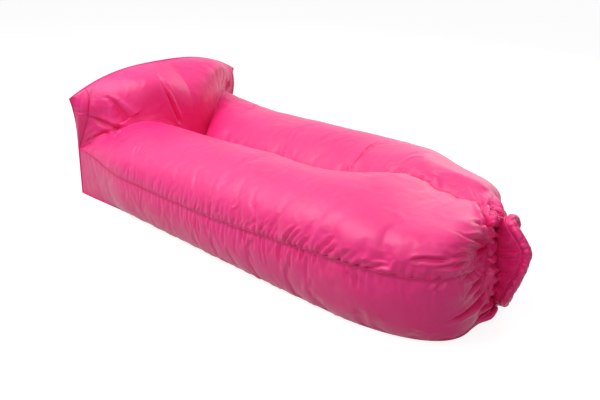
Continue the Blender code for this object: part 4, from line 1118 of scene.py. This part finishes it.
def welt(name, line, out):
    """The seam's welt along a line of points, and its stitches."""
    keep = np.concatenate([[True], np.linalg.norm(np.diff(line, axis=0), axis=-1) > TAPE_STEP / 10])
    line, out = line[keep], np.broadcast_to(out, line.shape)[keep]
    run = run_along(line)
    even = np.linspace(0, run[-1], max(int(run[-1] / TAPE_STEP), 4))
    line, out = between(even, run, line), between(even, run, out)
    along = unit(np.gradient(line, axis=0))
    out = unit(out - along * (out * along).sum(-1, keepdims=True))
    across = np.cross(along, out)
    turns = np.arange(TAPE_SIDES) / TAPE_SIDES * 2 * math.pi
    rows = (line[:, None] + across[:, None] * (TAPE_HALF_WIDTH * np.cos(turns))[None, :, None]
            + out[:, None] * (TAPE_HALF_HEIGHT * np.sin(turns))[None, :, None])
    rows[..., 2] = np.maximum(rows[..., 2], TAPE_CLEARANCE)
    faces = grid_quads(len(rows), TAPE_SIDES, closed=True)
    last = (len(rows) - 1) * TAPE_SIDES
    faces += [list(range(TAPE_SIDES)), list(range(last + TAPE_SIDES - 1, last - 1, -1))]
    places = [rows.reshape(-1, 3)]
    welt_faces = len(faces)
    count = int(run[-1] / STITCH_PITCH)
    number = last + TAPE_SIDES
    for at in (np.arange(count) + 0.5) * run[-1] / count:
        middle = between(at, even, line)
        k = min(int(np.searchsorted(even, at)), len(even) - 1)
        top = middle + out[k] * TAPE_HALF_HEIGHT
        number = stitch(places, faces, number, top, along[k], across[k], out[k])
    places = np.concatenate(places)
    places[:, 2] = np.maximum(places[:, 2], STITCH_CLEARANCE)
    piece = made(name + "_tape", places, faces)
    piece["stitches_from"] = welt_faces
    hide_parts(name)
    return piece


every = slice(None)
seams = []
for word, side in SIDES.items():
    tube, flank, leaf = f"tube_panel_{word}", f"side_panel_{word}", f"pillow_gusset_{word}"
    line, above = edge(tube, every, 0)
    below = edge(flank, every, -1)[1]
    seams.append(welt(f"side_seam_{word}", line, above + below))
    line, _ = joined(edge(flank, 0, every), edge(leaf, 0, slice(1, None)))
    seams.append(welt(f"head_seam_{word}", line, (-1.0, side, 0)))
    line, leaf_out = edge(leaf, -1, every)
    front_out = edge("pillow_front_panel", slice(None, None, -1), 0 if side == NEAR else -1)[1]
    seams.append(welt(f"gusset_seam_{word}", line, leaf_out + front_out))
right_crease = edge("tube_panel_right", 0, every)
left_crease = edge("tube_panel_left", 0, slice(-2, None, -1))
line, below = joined(right_crease, left_crease)
above = edge("pillow_front_panel", -1, every)[1]
seams.append(welt("crease_seam", line, above + below))
line, _ = edge("tube_panel_right", every, -1)
seams.append(welt("valley_seam", line, (0, 0, 1.0)))
line, _ = edge("pillow_back_panel", -1, every)
seams.append(welt("pillow_top_seam", line, (0, 0, 1.0)))
line, _ = joined(edge("base_panel", slice(None, 0, -1), 0), edge("base_panel", 0, every),
                 edge("base_panel", slice(1, None), -1))
out = line * (1, 1, 0) - BASE_SEAM_MIDDLE
seams.append(welt("base_seam", line + (0, 0, TAPE_HALF_HEIGHT), out))


# The webbing loops: a woven strap sewn round each buckle bar
WEBBING_WIDTH = 0.020
WEBBING_THICKNESS = 0.0014
BAR_SIZE = 0.003
BUCKLE_OUT = 0.004
LOOP_STEPS = 72
STRAP_POINTS = 40
RIB_COUNT = 9
RIB_HEIGHT = 0.00007
BEND_POINTS = 9
STRAP_SQUARENESS = 3
STRAP_FLATNESS = 0.4
WEBBING_STITCH_ROWS = (0.0035, 0.0065)
WEBBING_STITCH_PITCH = STITCH_PITCH * 0.9


def webbing_loop(name):
    low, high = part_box(name)
    half = BAR_SIZE / 2 + GAP + WEBBING_THICKNESS / 2
    corner = GAP + WEBBING_THICKNESS / 2
    bottom, top = low.z + WEBBING_THICKNESS / 2, high.z - WEBBING_THICKNESS / 2
    corners = ((half, top, 0), (-half, top, 1), (-half, bottom, 2), (half, bottom, 3))
    path, outs = [], []
    for v, z, quarter in corners:
        for share in np.linspace(0, 1, BEND_POINTS):
            turn = (quarter + share) * math.pi / 2
            out = np.array([math.cos(turn), math.sin(turn)])
            inside = np.array([v - math.copysign(corner, v), z - (corner if z == top else -corner)])
            path.append(inside + corner * out)
            outs.append(out)
    path, outs = np.array(path + path[:1]), np.array(outs + outs[:1])
    run = run_along(path)
    even = np.linspace(0, run[-1], LOOP_STEPS + 1)[:-1]
    path, outs = between(even, run, path), unit(between(even, run, outs))
    angle = np.arange(STRAP_POINTS) / STRAP_POINTS * 2 * math.pi
    wide = WEBBING_WIDTH / 2 * np.tanh(STRAP_SQUARENESS * np.cos(angle)) / math.tanh(STRAP_SQUARENESS)
    thick = WEBBING_THICKNESS / 2 * np.sign(np.sin(angle)) * np.abs(np.sin(angle)) ** STRAP_FLATNESS
    ribs = 1 + np.cos(RIB_COUNT * math.pi * wide / WEBBING_WIDTH * 2)
    thick = thick * (1 - RIB_HEIGHT / WEBBING_THICKNESS * ribs)
    rows = np.zeros((LOOP_STEPS, STRAP_POINTS, 3))
    rows[..., 0] = wide
    rows[..., 1] = path[:, :1] + outs[:, :1] * thick
    rows[..., 2] = path[:, 1:] + outs[:, 1:] * thick
    places, number = [rows.reshape(-1, 3)], LOOP_STEPS * STRAP_POINTS
    faces = grid_quads(LOOP_STEPS, STRAP_POINTS, closed=True, ring=True)
    strap_faces = len(faces)
    level, upright = np.array([1.0, 0, 0]), np.array([0, 0, 1.0])
    for height in WEBBING_STITCH_ROWS:
        for across in np.arange(-2, 3) * WEBBING_STITCH_PITCH:
            for way in (-1, 1):
                out = np.array([0.0, way, 0.0])
                middle = np.array([across, way * (half + WEBBING_THICKNESS / 2), (bottom + top) / 2 + height])
                number = stitch(places, faces, number, middle, level, upright, out)
    places = np.concatenate(places) + (ring_path(np.array(0.0)) * (1, 1, 0) + (BUCKLE_OUT, 0, 0))
    piece = made(name + "_strap", swung(places), faces)
    piece["stitches_from"] = strap_faces
    return piece


straps = {name: webbing_loop(name) for name in ("webbing_upper", "webbing_lower")}


# The partition inside the bag, from the valley down to the base
WEB_ROWS = 16
WEB_STATIONS = 120
WEB_RIPPLE = 0.0015
WEB_WAVES = 40
WEB_DRIFT = 5
web_low, web_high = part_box("centre_web")
valley, _ = edge("tube_panel_right", every, -1)
floor_line, _ = edge("base_panel", every, base_halves[0].shape[1] - 1)
web_x = np.linspace(web_low.x, web_high.x, WEB_STATIONS)
top = np.interp(web_x, valley[:, 0], valley[:, 2]) - TAPE_HALF_HEIGHT
low = np.interp(web_x, floor_line[:, 0], floor_line[:, 2]) + FABRIC
web_rows = np.stack([np.stack([
    web_x,
    WEB_RIPPLE * np.sin(web_x * WEB_WAVES + share * WEB_DRIFT) * math.sin(math.pi * share),
    mix(top, low, share)], axis=-1) for share in np.linspace(0, 1, WEB_ROWS)])
web_piece = made("centre_web_fabric", web_rows.reshape(-1, 3), grid_quads(WEB_ROWS, len(web_x)))
thicken(web_piece, FABRIC / 2)


# Materials

PINK = (0.89, 0.016, 0.235)
DEEP_PINK = (0.87, 0.004, 0.180)
BINDING_PINK = (0.84, 0.006, 0.185)
THREAD_PINK = (0.90, 0.05, 0.28)
WEBBING_BLACK = (0.012, 0.012, 0.013)
PLASTIC_BLACK = (0.020, 0.020, 0.022)
STIFFENER_BLACK = (0.045, 0.045, 0.048)


class Finish:
    """A node material being put together."""

    def __init__(self, name):
        self.material = bpy.data.materials.new(name)
        self.material.use_nodes = True
        self.nodes = self.material.node_tree.nodes
        self.links = self.material.node_tree.links
        self.shader = self.nodes["Principled BSDF"]
        self.place = self.add("ShaderNodeTexCoord").outputs["Object"]

    def add(self, kind, **settings):
        node = self.nodes.new(kind)
        for key, value in settings.items():
            setattr(node, key, value)
        return node

    def link(self, source, target):
        self.links.new(source, target)

    def stretched(self, scale, turn=(0, 0, 0)):
        node = self.add("ShaderNodeMapping")
        node.inputs["Scale"].default_value = scale
        node.inputs["Rotation"].default_value = turn
        self.link(self.place, node.inputs["Vector"])
        return node.outputs["Vector"]

    def noise(self, scale, detail=2.0, roughness=0.5, vector=None):
        node = self.add("ShaderNodeTexNoise", noise_type="FBM")
        node.inputs["Scale"].default_value = scale
        node.inputs["Detail"].default_value = detail
        node.inputs["Roughness"].default_value = roughness
        self.link(vector or self.place, node.inputs["Vector"])
        return node.outputs["Fac"]

    def wave(self, scale, direction):
        node = self.add("ShaderNodeTexWave", wave_type="BANDS", bands_direction=direction, wave_profile="SIN")
        node.inputs["Scale"].default_value = scale
        self.link(self.place, node.inputs["Vector"])
        return node.outputs["Fac"]

    def ramp(self, source, stops):
        node = self.add("ShaderNodeValToRGB")
        ramp = node.color_ramp
        while len(ramp.elements) < len(stops):
            ramp.elements.new(1.0)
        for element, (position, colour) in zip(ramp.elements, stops):
            element.position = position
            element.color = (*colour, 1)
        self.link(source, node.inputs["Fac"])
        return node.outputs["Color"]

    def span(self, source, low, high):
        node = self.add("ShaderNodeMapRange")
        node.inputs["To Min"].default_value = low
        node.inputs["To Max"].default_value = high
        self.link(source, node.inputs["Value"])
        return node.outputs["Result"]

    def sums(self, operation, first, second):
        node = self.add("ShaderNodeMath", operation=operation)
        for socket, value in zip(node.inputs, (first, second)):
            if isinstance(value, (int, float)):
                socket.default_value = value
            else:
                self.link(value, socket)
        return node.outputs["Value"]

    def bump(self, height, strength, distance, before=None):
        node = self.add("ShaderNodeBump")
        node.inputs["Strength"].default_value = strength
        node.inputs["Distance"].default_value = distance
        self.link(height, node.inputs["Height"])
        if before is not None:
            self.link(before, node.inputs["Normal"])
        return node.outputs["Normal"]

    def set(self, **values):
        for key, value in values.items():
            self.shader.inputs[key.replace("_", " ")].default_value = value


def nylon(name, colour, shade):
    """Thin coated nylon: a fine plain weave under a soft gloss, with small crumples."""
    finish = Finish(name)
    patches = finish.noise(5.5, 4, 0.55)
    crumple = finish.noise(38, 5, 0.62)
    streak = finish.noise(13, 3, 0.5, finish.stretched((1.0, 2.2, 1.4), (0.3, 0.2, 0.5)))
    blend = finish.sums("MULTIPLY", finish.sums("ADD", patches, crumple), 0.5)
    finish.link(finish.ramp(blend, ((0.32, shade), (0.66, colour))), finish.shader.inputs["Base Color"])
    gloss = finish.sums("ADD", patches, streak)
    finish.link(finish.span(gloss, 0.20, 0.56), finish.shader.inputs["Roughness"])
    warp = finish.wave(680, "X")
    weft = finish.wave(680, "Y")
    climb = finish.wave(680, "Z")
    weave = finish.sums("ADD", finish.sums("ADD", warp, weft), climb)
    ground = finish.bump(weave, 0.10, 0.0001)
    ground = finish.bump(crumple, 0.32, 0.0035, ground)
    ground = finish.bump(streak, 0.25, 0.006, ground)
    finish.link(ground, finish.shader.inputs["Normal"])
    finish.set(Specular_IOR_Level=0.50, IOR=1.5, Coat_Weight=0.32, Coat_Roughness=0.38, Coat_IOR=1.5,
               Sheen_Weight=0.06, Sheen_Roughness=0.5)
    finish.shader.inputs["Sheen Tint"].default_value = (1.0, 0.90, 0.97, 1)
    return finish.material


def tape_finish(name, colour):
    """Folded seam binding: a fine grainy bump, a little duller than the panels."""
    finish = Finish(name)
    stops = ((0.35, tuple(c * 0.86 for c in colour)), (0.65, colour))
    finish.link(finish.ramp(finish.noise(90, 3), stops), finish.shader.inputs["Base Color"])
    finish.link(finish.span(finish.noise(140, 2), 0.40, 0.66), finish.shader.inputs["Roughness"])
    finish.link(finish.bump(finish.noise(420, 2), 0.35, 0.0006), finish.shader.inputs["Normal"])
    return finish.material


def thread_finish(name, colour):
    finish = Finish(name)
    stops = ((0.3, tuple(c * 0.9 for c in colour)), (0.7, colour))
    finish.link(finish.ramp(finish.noise(260, 2), stops), finish.shader.inputs["Base Color"])
    finish.link(finish.span(finish.noise(500, 2), 0.5, 0.75), finish.shader.inputs["Roughness"])
    finish.link(finish.bump(finish.wave(900, "DIAGONAL"), 0.5, 0.0002), finish.shader.inputs["Normal"])
    return finish.material


def webbing_finish():
    """Woven strap: diagonal twill ribs with pale wear on the raised yarns."""
    finish = Finish("webbing_weave")
    ribs = finish.wave(190, "DIAGONAL")
    cross_ribs = finish.wave(260, "Z")
    yarn = finish.sums("MULTIPLY", ribs, cross_ribs)
    fuzz = finish.noise(900, 3)
    tone = finish.sums("ADD", yarn, finish.sums("MULTIPLY", fuzz, 0.35))
    pale = tuple(c + 0.035 for c in WEBBING_BLACK)
    finish.link(finish.ramp(tone, ((0.15, WEBBING_BLACK), (0.95, pale))), finish.shader.inputs["Base Color"])
    finish.link(finish.span(fuzz, 0.62, 0.86), finish.shader.inputs["Roughness"])
    finish.link(finish.bump(yarn, 0.8, 0.0006), finish.shader.inputs["Normal"])
    finish.set(Sheen_Weight=0.3)
    return finish.material


def plastic_finish(name, colour, low, high, grain):
    """Moulded plastic: a fine spark texture, rubbed smoother in places."""
    finish = Finish(name)
    worn = finish.noise(60, 4, 0.6)
    pale = tuple(c * 1.9 + 0.01 for c in colour)
    finish.link(finish.ramp(worn, ((0.42, colour), (0.80, pale))), finish.shader.inputs["Base Color"])
    finish.link(finish.span(worn, high, low), finish.shader.inputs["Roughness"])
    finish.link(finish.bump(finish.noise(grain, 3, 0.6), 0.25, 0.0003), finish.shader.inputs["Normal"])
    return finish.material


panel_finish = nylon("coated_nylon_pink", PINK, DEEP_PINK)
binding = tape_finish("seam_binding_pink", BINDING_PINK)
thread = thread_finish("sewing_thread_pink", THREAD_PINK)
strap_thread = thread_finish("sewing_thread_black", WEBBING_BLACK)
strap = webbing_finish()
buckle_finish = plastic_finish("moulded_black", PLASTIC_BLACK, 0.30, 0.55, 1400)
strip_finish = plastic_finish("stiffener_black", STIFFENER_BLACK, 0.35, 0.5, 700)

for name, piece in fabric.items():
    piece.data.materials.append(panel_finish)
    thicken(piece, FABRIC / 2, -1.0)
    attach(piece, "air_bag")
    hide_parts(name)
web_piece.data.materials.append(panel_finish)
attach(web_piece, "air_bag")
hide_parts("centre_web")


def dress(piece, cloth_finish, stitch_finish):
    """Gives a sewn piece its finish, and its stitches theirs."""
    piece.data.materials.append(cloth_finish)
    piece.data.materials.append(stitch_finish)
    for number in range(piece["stitches_from"], len(piece.data.polygons)):
        piece.data.polygons[number].material_index = 1
    del piece["stitches_from"]


for piece in seams:
    dress(piece, binding, thread)
    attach(piece, "air_bag")
for piece, node in ((skirt_piece, "mouth_skirt"), (roll_piece, "rolled_mouth")):
    piece.data.materials.append(panel_finish)
    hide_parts(node)
thicken(skirt_piece, FABRIC / 2, 0)
thicken(roll_piece, ROLL_FABRIC, 0)
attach(roll_piece, "closure")

STIFF_FINISHES = {
    "mouth_stiffener_inner": strip_finish,
    "mouth_stiffener_outer": strip_finish,
    "buckle_plug": buckle_finish,
    "buckle_socket": buckle_finish,
    "buckle_prong_inner": buckle_finish,
    "buckle_prong_outer": buckle_finish,
}
for node, finish in STIFF_FINISHES.items():
    frame["nodes"][node].data.materials.clear()
    frame["nodes"][node].data.materials.append(finish)
for node, piece in straps.items():
    dress(piece, strap, strap_thread)
    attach(piece, "closure")
    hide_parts(node)


# Stage: a pale floor, a soft white surrounding and three soft lamps

FLOOR_SIZE = 60
FLOOR_COLOUR = (0.30, 0.30, 0.30)
WORLD_LOW = 0.06
WORLD_HIGH = 0.34
WORLD_DARK_FROM = -0.35
FLOOR_LIFT = 0.86
LAMP_TARGET = Vector((0, 0, 0.2))
BRIGHT_WAY = (-0.50, -0.20, 0.84)


def shows_white(nodes, links):
    """1 for rays from the camera, in gloss and through glass."""
    path = nodes.new("ShaderNodeLightPath")
    total = path.outputs["Is Camera Ray"]
    for name in ("Is Glossy Ray", "Is Transmission Ray"):
        node = nodes.new("ShaderNodeMath")
        node.operation = "MAXIMUM"
        links.new(total, node.inputs[0])
        links.new(path.outputs[name], node.inputs[1])
        total = node.outputs[0]
    return total


floor_mesh = bpy.data.meshes.new("floor")
reach = FLOOR_SIZE / 2
floor_mesh.from_pydata([(-reach, -reach, 0), (reach, -reach, 0), (reach, reach, 0), (-reach, reach, 0)],
                       [], [(0, 1, 2, 3)])
floor = bpy.data.objects.new("floor", floor_mesh)
bpy.context.scene.collection.objects.link(floor)
floor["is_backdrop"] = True
floor_finish = bpy.data.materials.new("floor_paper")
floor_finish.use_nodes = True
nodes, links = floor_finish.node_tree.nodes, floor_finish.node_tree.links
paper = nodes["Principled BSDF"]
paper.inputs["Base Color"].default_value = (*FLOOR_COLOUR, 1)
paper.inputs["Roughness"].default_value = 0.9
paper.inputs["Specular IOR Level"].default_value = 0.1
paper.inputs["Emission Color"].default_value = (1, 1, 1, 1)
lift_node = nodes.new("ShaderNodeMath")
lift_node.operation = "MULTIPLY"
lift_node.inputs[1].default_value = FLOOR_LIFT
links.new(shows_white(nodes, links), lift_node.inputs[0])
links.new(lift_node.outputs[0], paper.inputs["Emission Strength"])
floor_mesh.materials.append(floor_finish)

world = bpy.data.worlds.new("studio")
bpy.context.scene.world = world
world.use_nodes = True
nodes, links = world.node_tree.nodes, world.node_tree.links
background = nodes["Background"]
background.inputs["Color"].default_value = (1, 1, 1, 1)
way = nodes.new("ShaderNodeTexCoord").outputs["Generated"]
brightness = nodes.new("ShaderNodeVectorMath")
brightness.operation = "DOT_PRODUCT"
brightness.inputs[1].default_value = BRIGHT_WAY
links.new(way, brightness.inputs[0])
shade = nodes.new("ShaderNodeMapRange")
shade.inputs["From Min"].default_value = WORLD_DARK_FROM
shade.inputs["To Min"].default_value = WORLD_LOW
shade.inputs["To Max"].default_value = WORLD_HIGH
links.new(brightness.outputs["Value"], shade.inputs["Value"])
level = nodes.new("ShaderNodeMapRange")
level.inputs["To Max"].default_value = 1.0
links.new(shade.outputs["Result"], level.inputs["To Min"])
links.new(shows_white(nodes, links), level.inputs["Value"])
links.new(level.outputs["Result"], background.inputs["Strength"])


def lamp(name, place, size, power):
    light = bpy.data.lights.new(name, "AREA")
    light.shape = "DISK"
    light.size = size
    light.energy = power
    piece = bpy.data.objects.new(name, light)
    piece.location = place
    piece.rotation_euler = (LAMP_TARGET - Vector(place)).to_track_quat("-Z", "Y").to_euler()
    bpy.context.scene.collection.objects.link(piece)


lamp("key_lamp", (-0.9, -1.5, 2.9), 3.0, 95)
lamp("back_lamp", (-0.3, 2.8, 1.9), 3.0, 42)
lamp("fill_lamp", (1.7, -1.3, 1.6), 2.0, 10)

bpy.context.scene.view_settings.view_transform = "Standard"

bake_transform(skirt_piece)

size = {"cad": cad_box, "visual": [list(corner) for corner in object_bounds()]}
